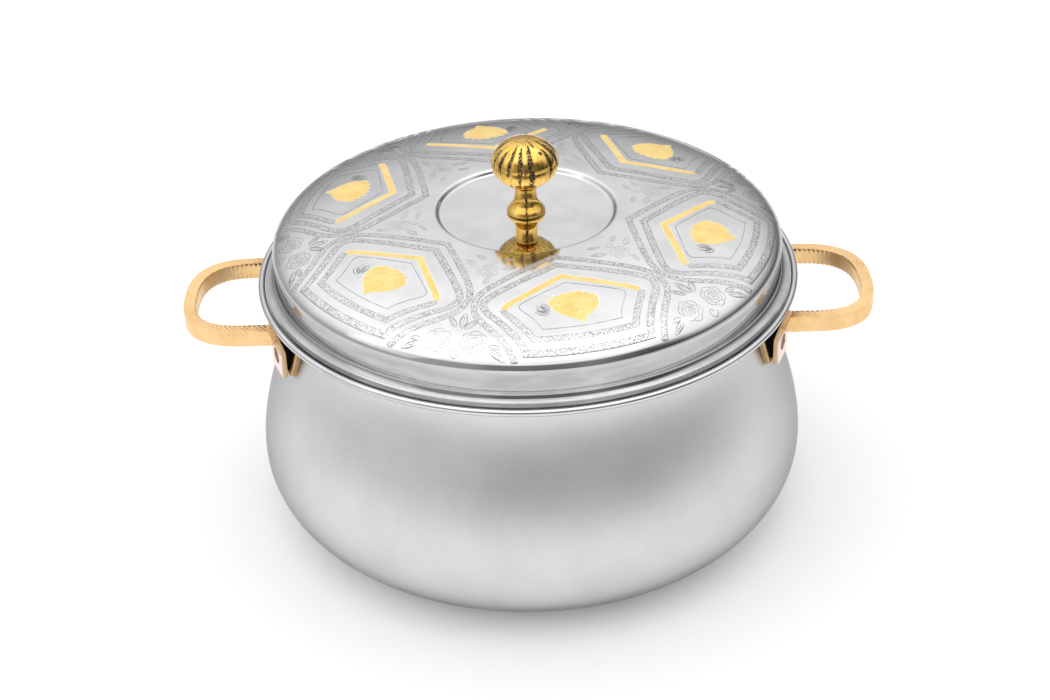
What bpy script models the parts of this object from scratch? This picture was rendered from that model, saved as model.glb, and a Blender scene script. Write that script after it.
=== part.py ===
"""Insulated serving casserole: a bellied double-walled pot with two loop handles and a lift-off lid.

Metres, +Z up. The origin is on the table under the middle of the pot, and the handles lie along X.
The lid hangs on an empty that stands on the pot's ledge, and lifts straight up from there.
"""

import math

import bmesh
import bpy
import numpy as np
from mathutils import Matrix

# General
SEAT_GAP = 0.0003          # between pieces that rest on, or pass through, each other
MERGE_DISTANCE = 0.000005
CUT_OVERRUN = 0.004        # how far a cutter runs past the piece that it cuts
TURN_STEPS = 40            # sides of the big turned pieces
SMALL_TURN_STEPS = 18      # sides of the knob's pieces and the fasteners
SMOOTH_ANGLE = math.radians(35)

# Inner bowl, spun sheet with a ledge and a rolled rim
RIM_HEIGHT = 0.115         # table to the ledge that carries the lid
BOWL_MOUTH_RADIUS = 0.100
BOWL_FLOOR_HEIGHT = 0.016  # table to the inside of the bowl's floor
BOWL_FLOOR_INSET = 0.022   # the floor's flat part is this much smaller than the mouth
BOWL_CORNER_RADIUS = 0.018
BOWL_DRAFT = 8             # degrees that the wall leans outwards at its foot
BOWL_WALL = 0.0008
BOWL_CORNER_STEPS = 3
MOUTH_FILLET = 0.0025
MOUTH_STEPS = 2
LEDGE_WIDTH = 0.020        # mouth to the outer edge of the rolled rim
ROLL_RADIUS = 0.0015
ROLL_DROP = 0.0004         # middle of the roll below the ledge
ROLL_STEPS = 7

# Outer shell of the pot, spun sheet
WALL_ROOM = 0.0058         # mouth of the bowl to the outside of the neck
NECK_FILLET = 0.0070       # where the neck turns outwards under the ledge
BELLY_SWELL = 0.0182       # neck to belly
BELLY_HEIGHT = 0.033
BOTTOM_RUN = 0.033         # belly to the outer edge of the flat ring on the table
BASE_RING_WIDTH = 0.011
SHELL_WALL = 0.0008
LIP_CLEARANCE = 0.001      # shell's upper lip to the rolled rim
NECK_PULL_SHARES = (0.09, 0.25)   # pull of the neck's end of the curve: outwards, downwards
BELLY_PULL_SHARE = 0.34
NECK_STEPS = 2
BELLY_STEPS = 7
BOTTOM_STEPS = 5

# Base disc and the plug of its filling hole
DISC_OVERLAP = 0.006       # disc past the inner edge of the shell's ring
DISC_WALL = 0.0008
DISC_STEP_INSET = 0.010    # step inside the inner edge of the shell's ring
DISC_STEP_HEIGHT = 0.0029
DISC_STEP_RUN = 0.0030
FILL_HOLE_RADIUS = 0.0055
PLUG_HEAD_RADIUS = 0.0080
PLUG_HEAD_THICKNESS = 0.0012
PLUG_LIP_RADIUS = 0.0066
PLUG_LIP_THICKNESS = 0.0014

# Foam in the pot's wall
FOAM_TOP_DROP = 0.0075     # top of the foam below the ledge
PLUG_POCKET_ROOM = 0.0012
NUT_POCKET_ROOM = 0.0010

# Handles: a flat bar bent into a loop, with a foot plate at each end
LOOP_LEG = 0.0078          # foot plate's face to the start of the arch
LOOP_ARCH = 0.0305         # start of the arch to its outermost point
LOOP_HALF_WIDTH = 0.0327
LOOP_POWER = 2.7           # squareness of the arch: 2 is an ellipse
LOOP_STEPS = 22
BAR_TOP_DROP = 0.0114      # top of the bar below the ledge
BAR_HEIGHT = 0.0078
BAR_WIDTH = 0.0056
PLATE_CLEARANCE = 0.0009   # backing plate to foot plate at their bottom edges
PLATE_THICKNESS = 0.0024
PLATE_WIDTH = 0.0148
PLATE_OFFSET = 0.0045      # middle of a foot plate past the middle of the bar
PLATE_TWIST = math.radians(5.5)      # how far the plates face outwards from the pot's middle
PLATE_LENGTH = 0.0120      # upright part, below the bend
PLATE_LEAN = 0.0023        # how far the bent part leans outwards at its top

# Backing plates on the wall and black spacers between the plates
BACKING_THICKNESS = 0.0013
BACKING_TOP_DROP = 0.0125
BACKING_BOTTOM_RISE = 0.0004      # above the foot plate's bottom edge
SPACER_NARROWING = 0.0008
SPACER_TOP_DROP = 0.0122
SPACER_HEEL_RISE = 0.0034
SPACER_TIP_RISE = 0.0009

# Handle screws and their nuts
SCREW_RADIUS = 0.0020
SCREW_DROP = 0.0038        # below the bend of the foot plate
SCREW_HEAD_RADIUS = 0.0034
SCREW_HEAD_HEIGHT = 0.0011
SCREW_HEAD_DEPTH = 0.0003  # head's top below the plate's face
SCREW_TAIL = 0.0008        # past the nut
NUT_CORNER_RADIUS = 0.0040
NUT_THICKNESS = 0.0026

# Lid shell, pressed sheet; heights are above the pot's ledge
LID_WALL = 0.0007
BRIM_CLEARANCE = 0.0003    # edge of the brim to the rolled rim
BRIM_WIDTH = 0.0047
FLARE_RADIUS = 0.0026      # hollow curve between skirt and brim
SKIRT_FLARE = 0.0007       # how far the skirt's top stands out past its bottom
SKIRT_HEIGHT = 0.0138      # ledge to the foot of the dome
DOME_RISE = 0.0154
DOME_POWER = 3.26          # squareness of the dome's section across
DOME_RISE_POWER = 2.16     # and upwards
DOME_STEPS = 8
FLARE_STEPS = 2
RECESS_RADIUS = 0.0400     # lip of the round recess under the knob
RECESS_SLOPE = 0.0020      # how much smaller its floor is
RECESS_DEPTH = 0.0022
RECESS_ROUNDING = 0.0009

# Lid liner: the pan that closes the bowl
LINER_WALL = 0.0006
LINER_DEPTH = 0.0088
LINER_TAPER = 0.0022
LINER_CORNER = 0.0030
LINER_STEPS = 2

# Knob
KNOB_BALL_RADIUS = 0.0147
KNOB_BALL_HALF_HEIGHT = 0.0113
KNOB_BALL_CENTRE = 0.0242  # above the recess floor
KNOB_FLUTES = 18
KNOB_BALL_RINGS = 12
KNOB_FLUTE_DEPTH = 0.0006
KNOB_SEAT_RADIUS = 0.0042  # flat under the ball
KNOB_FOOT_RADIUS = 0.0085
KNOB_NECK_RADIUS = 0.0048
KNOB_COLLAR_RADIUS = 0.0052
KNOB_COLLAR_HEIGHT = 0.0010
STUD_RADIUS = 0.0024
STUD_BITE = 0.0085         # length of the stud inside the ball
WASHER_RADIUS = 0.0065
WASHER_THICKNESS = 0.0008
KNOB_NUT_CORNER_RADIUS = 0.0050
KNOB_NUT_THICKNESS = 0.0032
STUD_TAIL = 0.0010
KNOB_POCKET_ROOM = 0.0012

# Profile of the knob's foot and neck: share of the way from foot radius to neck radius,
# and share of the height from the recess floor to the collar
KNOB_FOOT_SHARES = (
    (0.00, 0.03), (0.05, 0.10), (0.20, 0.19), (0.46, 0.29), (0.72, 0.41), (0.92, 0.55), (1.00, 0.72),
    (1.00, 0.90), (0.97, 1.00),
)

# Colour, metallic, roughness
FINISHES = {
    "satin_steel": ((0.62, 0.62, 0.63), 1.0, 0.34),
    "polished_steel": ((0.72, 0.72, 0.73), 1.0, 0.16),
    "gilt": ((0.86, 0.60, 0.27), 1.0, 0.28),
    "brass": ((0.80, 0.56, 0.18), 1.0, 0.18),
    "black_plastic": ((0.012, 0.011, 0.011), 0.0, 0.45),
    "foam": ((0.80, 0.74, 0.52), 0.0, 0.90),
    "zinc": ((0.55, 0.56, 0.58), 1.0, 0.40),
    "rubber": ((0.05, 0.05, 0.05), 0.0, 0.70),
}


def clear_scene():
    for thing in list(bpy.data.objects):
        bpy.data.objects.remove(thing, do_unlink=True)


def finish_material(finish):
    found = bpy.data.materials.get(finish)
    if found:
        return found
    colour, metallic, roughness = FINISHES[finish]
    made = bpy.data.materials.new(finish)
    made.use_nodes = True
    shader = made.node_tree.nodes["Principled BSDF"]
    shader.inputs["Base Color"].default_value = (*colour, 1.0)
    shader.inputs["Metallic"].default_value = metallic
    shader.inputs["Roughness"].default_value = roughness
    return made


def empty(name, height=0.0, parent=None):
    made = bpy.data.objects.new(name, None)
    made.location = (0.0, 0.0, height)
    made.parent = parent
    bpy.context.scene.collection.objects.link(made)
    return made


def piece(name, bm, finish, parent, turn=0.0, tilt=0.0, place=(0.0, 0.0, 0.0), smooth=True):
    """An object made from a finished bmesh, tipped by tilt about Y and turned by turn about Z."""
    bmesh.ops.recalc_face_normals(bm, faces=bm.faces)
    mesh = bpy.data.meshes.new(name)
    bm.to_mesh(mesh)
    bm.free()
    if smooth:
        mesh.shade_smooth()
        mesh.set_sharp_from_angle(angle=SMOOTH_ANGLE)
    made = bpy.data.objects.new(name, mesh)
    made.data.materials.append(finish_material(finish))
    made.location = place
    made.rotation_euler = (0.0, tilt, turn)
    made.parent = parent
    bpy.context.scene.collection.objects.link(made)
    return made


def hide(helper):
    helper.hide_render = True
    helper.display_type = "WIRE"
    return helper


def combine(target, other, operation):
    step = target.modifiers.new(f"{operation.lower()} {other.name}", "BOOLEAN")
    step.operation = operation
    step.solver = "EXACT"
    step.object = other
    return step


# Outlines are lists of (radius, height)

def arc(centre, across, up, start, end, steps):
    """Points of an elliptic arc; the angles are in degrees from +radius towards +height."""
    angles = np.radians(np.linspace(start, end, steps + 1))
    return [(centre[0] + across * math.cos(a), centre[1] + up * math.sin(a)) for a in angles]


def bezier(start, start_pull, end_pull, end, steps):
    points = []
    for t in np.linspace(0, 1, steps + 1):
        weights = ((1 - t) ** 3, 3 * t * (1 - t) ** 2, 3 * t * t * (1 - t), t ** 3)
        controls = (start, start_pull, end_pull, end)
        points.append(tuple(sum(w * c[k] for w, c in zip(weights, controls)) for k in (0, 1)))
    return points


def offset(line, distance):
    """The line moved sideways, to the right of its direction of travel."""
    points = np.array(line)
    steps = np.diff(points, axis=0)
    steps /= np.linalg.norm(steps, axis=1)[:, None]
    sides = np.column_stack((steps[:, 1], -steps[:, 0]))
    moved = []
    for n, point in enumerate(points):
        before = sides[max(n - 1, 0)]
        after = sides[min(n, len(sides) - 1)]
        side = (before + after) / (1 + before @ after)
        radius, height = point + distance * side
        moved.append((0.0 if point[0] == 0 else radius, height))
    return moved


def between(line, low, high):
    """The stretch of a rising or falling line between two heights, with its ends cut square."""
    heights = np.array([p[1] for p in line])
    falling = heights[0] > heights[-1]
    order = slice(None, None, -1) if falling else slice(None)
    radii = np.array([p[0] for p in line])[order]
    heights = heights[order]
    inside = [(r, h) for r, h in zip(radii, heights) if low < h < high]
    ends = [(float(np.interp(h, heights, radii)), h) for h in (low, high)]
    cut = [ends[0], *inside, ends[1]]
    return cut[::-1] if falling else cut


def radius_at(line, height):
    """Radius of a line at a height; the line falls all the way."""
    return float(np.interp(-height, [-p[1] for p in line], [p[0] for p in line]))


def walled(line, thickness):
    return line + offset(line, thickness)[::-1]


def turned(name, outline, finish, parent, steps=TURN_STEPS, **placing):
    """A closed outline spun a full turn about Z."""
    bm = bmesh.new()
    corners = [bm.verts.new((radius, 0.0, height)) for radius, height in outline]
    edges = [bm.edges.new(pair) for pair in zip(corners, corners[1:])]
    if outline[0][0] > 0 or outline[-1][0] > 0:
        edges.append(bm.edges.new((corners[-1], corners[0])))
    bmesh.ops.spin(
        bm, geom=corners + edges, cent=(0, 0, 0), axis=(0, 0, 1), angle=math.tau, steps=steps, use_merge=True,
    )
    bmesh.ops.remove_doubles(bm, verts=bm.verts, dist=MERGE_DISTANCE)
    return piece(name, bm, finish, parent, **placing)


def slab(name, outline, width, finish, parent, twist=0.0, **placing):
    """A closed outline in X and Z, given width along Y and twisted about the face of a foot plate."""
    bm = bmesh.new()
    face = bm.faces.new([bm.verts.new((x, -width / 2, z)) for x, z in outline])
    grown = bmesh.ops.extrude_face_region(bm, geom=[face])["geom"]
    moved = [g for g in grown if isinstance(g, bmesh.types.BMVert)]
    bmesh.ops.translate(bm, verts=moved, vec=(0, width, 0))
    bmesh.ops.rotate(bm, verts=bm.verts, cent=(plate_face(), 0, 0), matrix=Matrix.Rotation(twist, 3, "Z"))
    return piece(name, bm, finish, parent, **placing)


def sheet_outline(outline, low, high):
    """Bmesh of a flat outline in X and Y, filled between two heights."""
    bm = bmesh.new()
    face = bm.faces.new([bm.verts.new((x, y, low)) for x, y in outline])
    grown = bmesh.ops.extrude_face_region(bm, geom=[face])["geom"]
    moved = [g for g in grown if isinstance(g, bmesh.types.BMVert)]
    bmesh.ops.translate(bm, verts=moved, vec=(0, 0, high - low))
    return bm


# Shared radii and lines of the sheet pieces

def rim_radius():
    return BOWL_MOUTH_RADIUS + LEDGE_WIDTH


def ledge_edge():
    """Where the flat ledge ends and the rolled rim begins."""
    return rim_radius() - 2 * ROLL_RADIUS


def skirt_radius():
    return ledge_edge() - BRIM_CLEARANCE - BRIM_WIDTH


def ring_inner_radius():
    """Inner edge of the flat ring that stands on the table."""
    return BOWL_MOUTH_RADIUS + WALL_ROOM + BELLY_SWELL - BOTTOM_RUN - BASE_RING_WIDTH


def shell_line():
    """Outside of the outer shell, from the lip under the ledge down to the ring on the table."""
    lip_height = RIM_HEIGHT - BOWL_WALL - SEAT_GAP
    neck_height = lip_height - SHELL_WALL - NECK_FILLET
    neck = BOWL_MOUTH_RADIUS + WALL_ROOM
    fillet = arc((neck + NECK_FILLET, neck_height), NECK_FILLET, NECK_FILLET, 90, 180, NECK_STEPS)
    lip = (ledge_edge() - LIP_CLEARANCE, lip_height - SHELL_WALL)
    belly = neck + BELLY_SWELL
    down = neck_height - BELLY_HEIGHT
    wall = bezier(
        (neck, neck_height),
        (neck + NECK_PULL_SHARES[0] * BELLY_SWELL, neck_height - NECK_PULL_SHARES[1] * down),
        (belly, BELLY_HEIGHT + BELLY_PULL_SHARE * down),
        (belly, BELLY_HEIGHT),
        BELLY_STEPS,
    )
    bottom = arc((belly - BOTTOM_RUN, BELLY_HEIGHT), BOTTOM_RUN, BELLY_HEIGHT, 0, -90, BOTTOM_STEPS)
    return [lip, *fillet, *wall[1:], *bottom[1:], (ring_inner_radius(), 0.0)]


def wall_line():
    """The outer shell's outside below its neck."""
    return shell_line()[NECK_STEPS + 1:]


def bowl_line():
    """Inside of the bowl, from the axis out over the floor, up the wall and out to the rolled rim."""
    turn = BOWL_CORNER_RADIUS
    start = (BOWL_MOUTH_RADIUS - BOWL_FLOOR_INSET, BOWL_FLOOR_HEIGHT + turn)
    corner = arc(start, turn, turn, -90, -BOWL_DRAFT, BOWL_CORNER_STEPS)
    centre = (BOWL_MOUTH_RADIUS + MOUTH_FILLET, RIM_HEIGHT - MOUTH_FILLET)
    mouth = arc(centre, MOUTH_FILLET, MOUTH_FILLET, 180, 90, MOUTH_STEPS)
    return [(0.0, BOWL_FLOOR_HEIGHT), *corner, *mouth, (ledge_edge(), RIM_HEIGHT)]


def lid_line():
    """Top of the lid shell above the ledge, from the knob's hole out to the edge of the brim."""
    floor = recess_floor_height()
    brim = SEAT_GAP + LID_WALL
    hole = STUD_RADIUS + SEAT_GAP
    dome = []
    for angle in np.linspace(math.asin(recess_share()), 0, DOME_STEPS + 1):
        up = math.sin(angle)
        across = (1 - up ** DOME_RISE_POWER) ** (1 / DOME_POWER)
        dome.append((dome_radius() * across, SKIRT_HEIGHT + DOME_RISE * up))
    lip_top = dome[0][1]
    recess = [
        (hole, floor),
        (RECESS_RADIUS - RECESS_SLOPE - RECESS_ROUNDING, floor),
        (RECESS_RADIUS - RECESS_SLOPE, floor + RECESS_ROUNDING / 2),
        (RECESS_RADIUS - RECESS_ROUNDING, lip_top - RECESS_ROUNDING / 2),
    ]
    centre = (skirt_radius() + FLARE_RADIUS, brim + FLARE_RADIUS)
    flare = arc(centre, FLARE_RADIUS, FLARE_RADIUS, 180, 270, FLARE_STEPS)
    return [*recess, *dome, *flare, (ledge_edge() - BRIM_CLEARANCE, brim)]


def dome_radius():
    return skirt_radius() + SKIRT_FLARE


def recess_share():
    """How far up the dome's full rise the lip of the recess lies."""
    return (1 - (RECESS_RADIUS / dome_radius()) ** DOME_POWER) ** (1 / DOME_RISE_POWER)


def recess_floor_height():
    return SKIRT_HEIGHT + DOME_RISE * recess_share() - RECESS_DEPTH


def liner_line():
    """Underside of the liner above the ledge, from its flange in, down the plug wall and to the axis."""
    flange_edge = skirt_radius() - LID_WALL - SEAT_GAP
    fit = MOUTH_FILLET + SEAT_GAP
    mouth = arc((BOWL_MOUTH_RADIUS + MOUTH_FILLET, -MOUTH_FILLET), fit, fit, 90, 180, LINER_STEPS)
    corner_radius = BOWL_MOUTH_RADIUS - SEAT_GAP - LINER_TAPER - LINER_CORNER
    centre = (corner_radius, LINER_CORNER - LINER_DEPTH)
    corner = arc(centre, LINER_CORNER, LINER_CORNER, 0, -90, LINER_STEPS)
    return [(flange_edge, SEAT_GAP), *mouth, *corner, (0.0, -LINER_DEPTH)]


# Pot

def make_outer_shell(pot, screw_holes):
    shell = turned("outer_shell", walled(shell_line(), SHELL_WALL), "satin_steel", pot)
    for hole in screw_holes:
        combine(shell, hole, "DIFFERENCE")


def make_inner_bowl(pot):
    inside = bowl_line()
    outside = offset(inside, BOWL_WALL)
    middle = (rim_radius() - ROLL_RADIUS, RIM_HEIGHT - ROLL_DROP)
    top_angle = 180 - math.degrees(math.asin(ROLL_DROP / ROLL_RADIUS))
    low_angle = -180 + math.degrees(math.asin((BOWL_WALL - ROLL_DROP) / ROLL_RADIUS))
    roll = arc(middle, ROLL_RADIUS, ROLL_RADIUS, top_angle, low_angle, ROLL_STEPS)
    turned("inner_bowl", inside[:-1] + roll + outside[-2::-1], "polished_steel", pot)


def make_base(pot):
    disc_height = SHELL_WALL + SEAT_GAP
    raised = disc_height + DISC_STEP_HEIGHT
    step = ring_inner_radius() - DISC_STEP_INSET
    disc = [
        (ring_inner_radius() + DISC_OVERLAP, disc_height),
        (step + DISC_STEP_RUN, disc_height),
        (step, raised),
        (FILL_HOLE_RADIUS + SEAT_GAP, raised),
    ]
    turned("base_disc", walled(disc, DISC_WALL), "satin_steel", pot)
    under = raised - SEAT_GAP
    over = raised + DISC_WALL + SEAT_GAP
    plug = [
        (0.0, under - PLUG_HEAD_THICKNESS),
        (PLUG_HEAD_RADIUS, under - PLUG_HEAD_THICKNESS),
        (PLUG_HEAD_RADIUS, under),
        (FILL_HOLE_RADIUS, under),
        (FILL_HOLE_RADIUS, over),
        (PLUG_LIP_RADIUS, over),
        (FILL_HOLE_RADIUS, over + PLUG_LIP_THICKNESS),
        (0.0, over + PLUG_LIP_THICKNESS),
    ]
    turned("fill_plug", plug, "rubber", pot, steps=SMALL_TURN_STEPS)


def make_body_insulation(pot, nut_pockets):
    """Foam that fills the wall: the shell outside it, the bowl inside and the base disc below."""
    top = RIM_HEIGHT - FOAM_TOP_DROP
    over_disc = SHELL_WALL + SEAT_GAP + DISC_WALL + SEAT_GAP
    over_step = over_disc + DISC_STEP_HEIGHT
    pocket_radius = PLUG_LIP_RADIUS + PLUG_POCKET_ROOM
    pocket_top = over_step + PLUG_LIP_THICKNESS + PLUG_POCKET_ROOM
    shell_side = offset(shell_line()[:-1], SHELL_WALL + SEAT_GAP)[1:]
    bowl_side = offset(bowl_line()[:-1], BOWL_WALL + SEAT_GAP)
    outside = between(shell_side, over_disc, top)
    inside = between(bowl_side[1:], bowl_side[1][1] + MERGE_DISTANCE, top)
    step = ring_inner_radius() - DISC_STEP_INSET + SEAT_GAP
    below = [
        (step + DISC_STEP_RUN, over_disc),
        (step, over_step),
        (pocket_radius, over_step),
        (pocket_radius, pocket_top),
        (0.0, pocket_top),
    ]
    outline = [*outside, *below, bowl_side[0], *inside]
    foam = turned("body_insulation", outline, "foam", pot)
    for pocket in nut_pockets:
        combine(foam, pocket, "DIFFERENCE")


# Handles and what fastens them

def plate_face():
    """Radius of the upright outer face of a foot plate."""
    backing = wall_face(backing_heights()[0]) + SEAT_GAP + BACKING_THICKNESS
    return backing + PLATE_CLEARANCE + PLATE_THICKNESS


def foot_angle():
    """Angle from the X axis to the middle of a foot plate."""
    side = LOOP_HALF_WIDTH - BAR_WIDTH / 2 + PLATE_OFFSET
    return math.asin(side / (plate_face() + PLATE_LEAN / 2))


def bar_top():
    return RIM_HEIGHT - BAR_TOP_DROP


def plate_bend():
    return bar_top() - BAR_HEIGHT


def plate_bottom():
    return plate_bend() - PLATE_LENGTH


def loop_curve(inset):
    """Plan of one side of the bar, from the back leg round the arch to the front leg."""
    start = plate_face() + LOOP_LEG
    across = LOOP_ARCH - inset
    side = LOOP_HALF_WIDTH - inset
    points = []
    for angle in np.radians(np.linspace(90, -90, LOOP_STEPS + 1)):
        x = start + across * abs(math.cos(angle)) ** (2 / LOOP_POWER)
        y = math.copysign(side * abs(math.sin(angle)) ** (2 / LOOP_POWER), angle)
        points.append((x, y))
    return points


def leg_end(side, height):
    """Where a leg ends: in the middle of its foot plate's thickness, which leans with height."""
    lean = PLATE_LEAN * (height - plate_bend()) / BAR_HEIGHT
    middle = plate_face() * math.cos(PLATE_TWIST) + lean - PLATE_THICKNESS / 2
    facing = foot_angle() + PLATE_TWIST
    return (middle - abs(side) * math.sin(facing)) / math.cos(facing)


def make_handle(name, pot, turn, feet, screw_holes):
    face = plate_face()
    outer = loop_curve(0.0)
    inner = loop_curve(BAR_WIDTH)
    outline = [(face, outer[0][1]), *outer, (face, outer[-1][1])]
    outline += [(face, inner[-1][1]), *inner[::-1], (face, inner[0][1])]
    bar = sheet_outline(outline, plate_bend(), bar_top())
    for corner in bar.verts:
        if corner.co.x < face + LOOP_LEG / 2:
            corner.co.x = leg_end(corner.co.y, corner.co.z)
    handle = piece(name, bar, "gilt", pot, turn=turn)
    for foot in feet:
        combine(handle, foot, "UNION")
    for hole in screw_holes:
        combine(handle, hole, "DIFFERENCE")


def foot_outline():
    """Side view of a foot plate: upright below the bend, leaning outwards above it."""
    face = plate_face()
    outside = [(face + PLATE_LEAN, bar_top()), (face, plate_bend()), (face, plate_bottom())]
    return walled(outside, PLATE_THICKNESS)


def make_foot(place, pot, turn, twist):
    """Foot plate, which becomes part of its handle."""
    foot = slab(f"foot_{place}", foot_outline(), PLATE_WIDTH, "gilt", pot, twist, turn=turn, smooth=False)
    return hide(foot)


def screw_height():
    return plate_bend() - SCREW_DROP


def wall_face(height):
    return radius_at(wall_line(), height)


def backing_heights():
    return plate_bottom() + BACKING_BOTTOM_RISE, RIM_HEIGHT - BACKING_TOP_DROP


def make_backing_plate(place, pot, window, hole):
    """A piece of a ring that follows the wall, cut to width by its window."""
    inside = between(offset(wall_line(), -SEAT_GAP), *backing_heights())
    plate = turned(f"backing_plate_{place}", inside + offset(inside, -BACKING_THICKNESS)[::-1], "gilt", pot)
    combine(plate, window, "INTERSECT")
    combine(plate, hole, "DIFFERENCE")


def make_window(place, pot, turn):
    """Cutter as wide as a foot plate, across the wall."""
    low, high = backing_heights()
    inside, outside = wall_face(high) - CUT_OVERRUN, wall_face(low) + CUT_OVERRUN
    outline = [
        (outside, low - CUT_OVERRUN),
        (outside, high + CUT_OVERRUN),
        (inside, high + CUT_OVERRUN),
        (inside, low - CUT_OVERRUN),
    ]
    return hide(slab(f"window_{place}", outline, PLATE_WIDTH, "gilt", pot, turn=turn, smooth=False))


def make_spacer(place, pot, turn, twist, pot_form, hole):
    """Black wedge between the foot plate and the backing plate, cut to follow the backing plate."""
    back = offset(foot_outline()[:3], PLATE_THICKNESS + SEAT_GAP)
    top = RIM_HEIGHT - SPACER_TOP_DROP
    heel = plate_bottom() + SPACER_HEEL_RISE
    tip = plate_bottom() + SPACER_TIP_RISE
    outline = [*between(back, heel, top), (wall_face(tip), tip), (wall_face(top), top)]
    width = PLATE_WIDTH - 2 * SPACER_NARROWING
    spacer = slab(f"spacer_{place}", outline, width, "black_plastic", pot, twist, turn=turn, smooth=False)
    combine(spacer, pot_form, "DIFFERENCE")
    combine(spacer, hole, "DIFFERENCE")


def nut_face():
    """Radius of the nut's outer face, clear of the leaning wall at the nut's upper edge."""
    return wall_face(screw_height() + NUT_CORNER_RADIUS) - SHELL_WALL - 2 * SEAT_GAP


def screw_head_seat():
    return plate_face() - SCREW_HEAD_DEPTH - SCREW_HEAD_HEIGHT


def screw_tail():
    return nut_face() - NUT_THICKNESS - SCREW_TAIL


def make_screw_hole(place, pot, turn):
    """Cutter for the screw's way through the foot, the spacer, the backing plate and the wall."""
    shank = SCREW_RADIUS + SEAT_GAP
    head = SCREW_HEAD_RADIUS + SEAT_GAP
    seat = screw_head_seat() - SEAT_GAP
    outline = [
        (0.0, nut_face() - CUT_OVERRUN),
        (shank, nut_face() - CUT_OVERRUN),
        (shank, seat),
        (head, seat),
        (head, plate_face() + CUT_OVERRUN / 2),
        (0.0, plate_face() + CUT_OVERRUN / 2),
    ]
    return hide(turned(
        f"screw_hole_{place}", outline, "zinc", pot, steps=SMALL_TURN_STEPS,
        turn=turn, tilt=math.pi / 2, place=(0.0, 0.0, screw_height()),
    ))


def make_screw(place, pot, turn):
    seat, tail = screw_head_seat(), screw_tail()
    outline = [
        (0.0, tail),
        (SCREW_RADIUS, tail),
        (SCREW_RADIUS, seat),
        (SCREW_HEAD_RADIUS, seat),
        (SCREW_HEAD_RADIUS, seat + SCREW_HEAD_HEIGHT / 2),
        (SCREW_RADIUS, seat + SCREW_HEAD_HEIGHT),
        (0.0, seat + SCREW_HEAD_HEIGHT),
    ]
    turned(
        f"handle_screw_{place}", outline, "brass", pot, steps=SMALL_TURN_STEPS,
        turn=turn, tilt=math.pi / 2, place=(0.0, 0.0, screw_height()),
    )


def hex_nut(name, corner_radius, low, high, bore, parent, **placing):
    bm = bmesh.new()
    bmesh.ops.create_cone(
        bm, cap_ends=True, segments=6, radius1=corner_radius, radius2=corner_radius, depth=high - low,
        matrix=Matrix.Translation((0, 0, (low + high) / 2)),
    )
    nut = piece(name, bm, "zinc", parent, smooth=False, **placing)
    cutter = [
        (0.0, low - CUT_OVERRUN),
        (bore, low - CUT_OVERRUN),
        (bore, high + CUT_OVERRUN),
        (0.0, high + CUT_OVERRUN),
    ]
    hole = turned(f"{name}_bore", cutter, "zinc", parent, steps=SMALL_TURN_STEPS, **placing)
    combine(nut, hide(hole), "DIFFERENCE")


def make_nut(place, pot, turn):
    hex_nut(
        f"handle_nut_{place}", NUT_CORNER_RADIUS, nut_face() - NUT_THICKNESS, nut_face(),
        SCREW_RADIUS + SEAT_GAP, pot, turn=turn, tilt=math.pi / 2, place=(0.0, 0.0, screw_height()),
    )


def make_nut_pocket(place, pot, turn):
    """Room in the foam for a nut and the end of its screw."""
    radius = NUT_CORNER_RADIUS + NUT_POCKET_ROOM
    low = screw_tail() - SEAT_GAP
    high = nut_face() + CUT_OVERRUN
    outline = [(0.0, low), (radius, low), (radius, high), (0.0, high)]
    return hide(turned(
        f"nut_pocket_{place}", outline, "foam", pot, steps=SMALL_TURN_STEPS // 2,
        turn=turn, tilt=math.pi / 2, place=(0.0, 0.0, screw_height()),
    ))


def make_handles(pot):
    """Two handles and their feet, spacers, backing plates, screws and nuts."""
    angle = foot_angle()
    backing_face = offset(wall_line(), -2 * SEAT_GAP - BACKING_THICKNESS)
    form = [(0.0, backing_face[0][1]), *backing_face, (0.0, backing_face[-1][1])]
    pot_form = hide(turned("pot_form", form, "satin_steel", pot))
    holes, pockets = [], []
    for side, facing, front in (("right", 0.0, -1), ("left", math.pi, 1)):
        feet, side_holes = [], []
        for end, way in (("front", front), ("back", -front)):
            place, turn, twist = f"{side}_{end}", facing + way * angle, way * PLATE_TWIST
            hole = make_screw_hole(place, pot, turn)
            feet.append(make_foot(place, pot, turn, twist))
            make_backing_plate(place, pot, make_window(place, pot, turn), hole)
            make_spacer(place, pot, turn, twist, pot_form, hole)
            make_screw(place, pot, turn)
            make_nut(place, pot, turn)
            pockets.append(make_nut_pocket(place, pot, turn))
            side_holes.append(hole)
        make_handle(f"handle_{side}", pot, facing, feet, side_holes)
        holes += side_holes
    return holes, pockets


# Lid

def make_lid_shell(lid):
    turned("lid_shell", walled(lid_line(), LID_WALL), "polished_steel", lid)


def make_lid_liner(lid):
    turned("lid_liner", walled(liner_line(), LINER_WALL), "polished_steel", lid)


def make_lid_insulation(lid):
    """Foam between the liner and the shell, with a pocket for the knob's nut."""
    gap = SEAT_GAP
    under_shell = offset(lid_line(), LID_WALL + gap)
    over_liner = offset(liner_line(), LINER_WALL + gap)
    flange_top = over_liner[0][1]
    skirt_side, skirt_height = under_shell[-FLARE_STEPS - 2]
    pocket_radius = WASHER_RADIUS + KNOB_POCKET_ROOM
    floor = recess_floor_height() - LID_WALL - gap
    pocket_low = recess_floor_height() - LID_WALL - knob_nut_stack() - STUD_TAIL - KNOB_POCKET_ROOM
    dome = [p for p in under_shell[1:] if p[1] > skirt_height]
    outline = [
        (0.0, over_liner[-1][1]),
        *over_liner[-2:0:-1],
        (skirt_side, flange_top),
        *dome[::-1],
        (pocket_radius, floor),
        (pocket_radius, pocket_low),
        (0.0, pocket_low),
    ]
    turned("lid_insulation", outline, "foam", lid)


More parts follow.
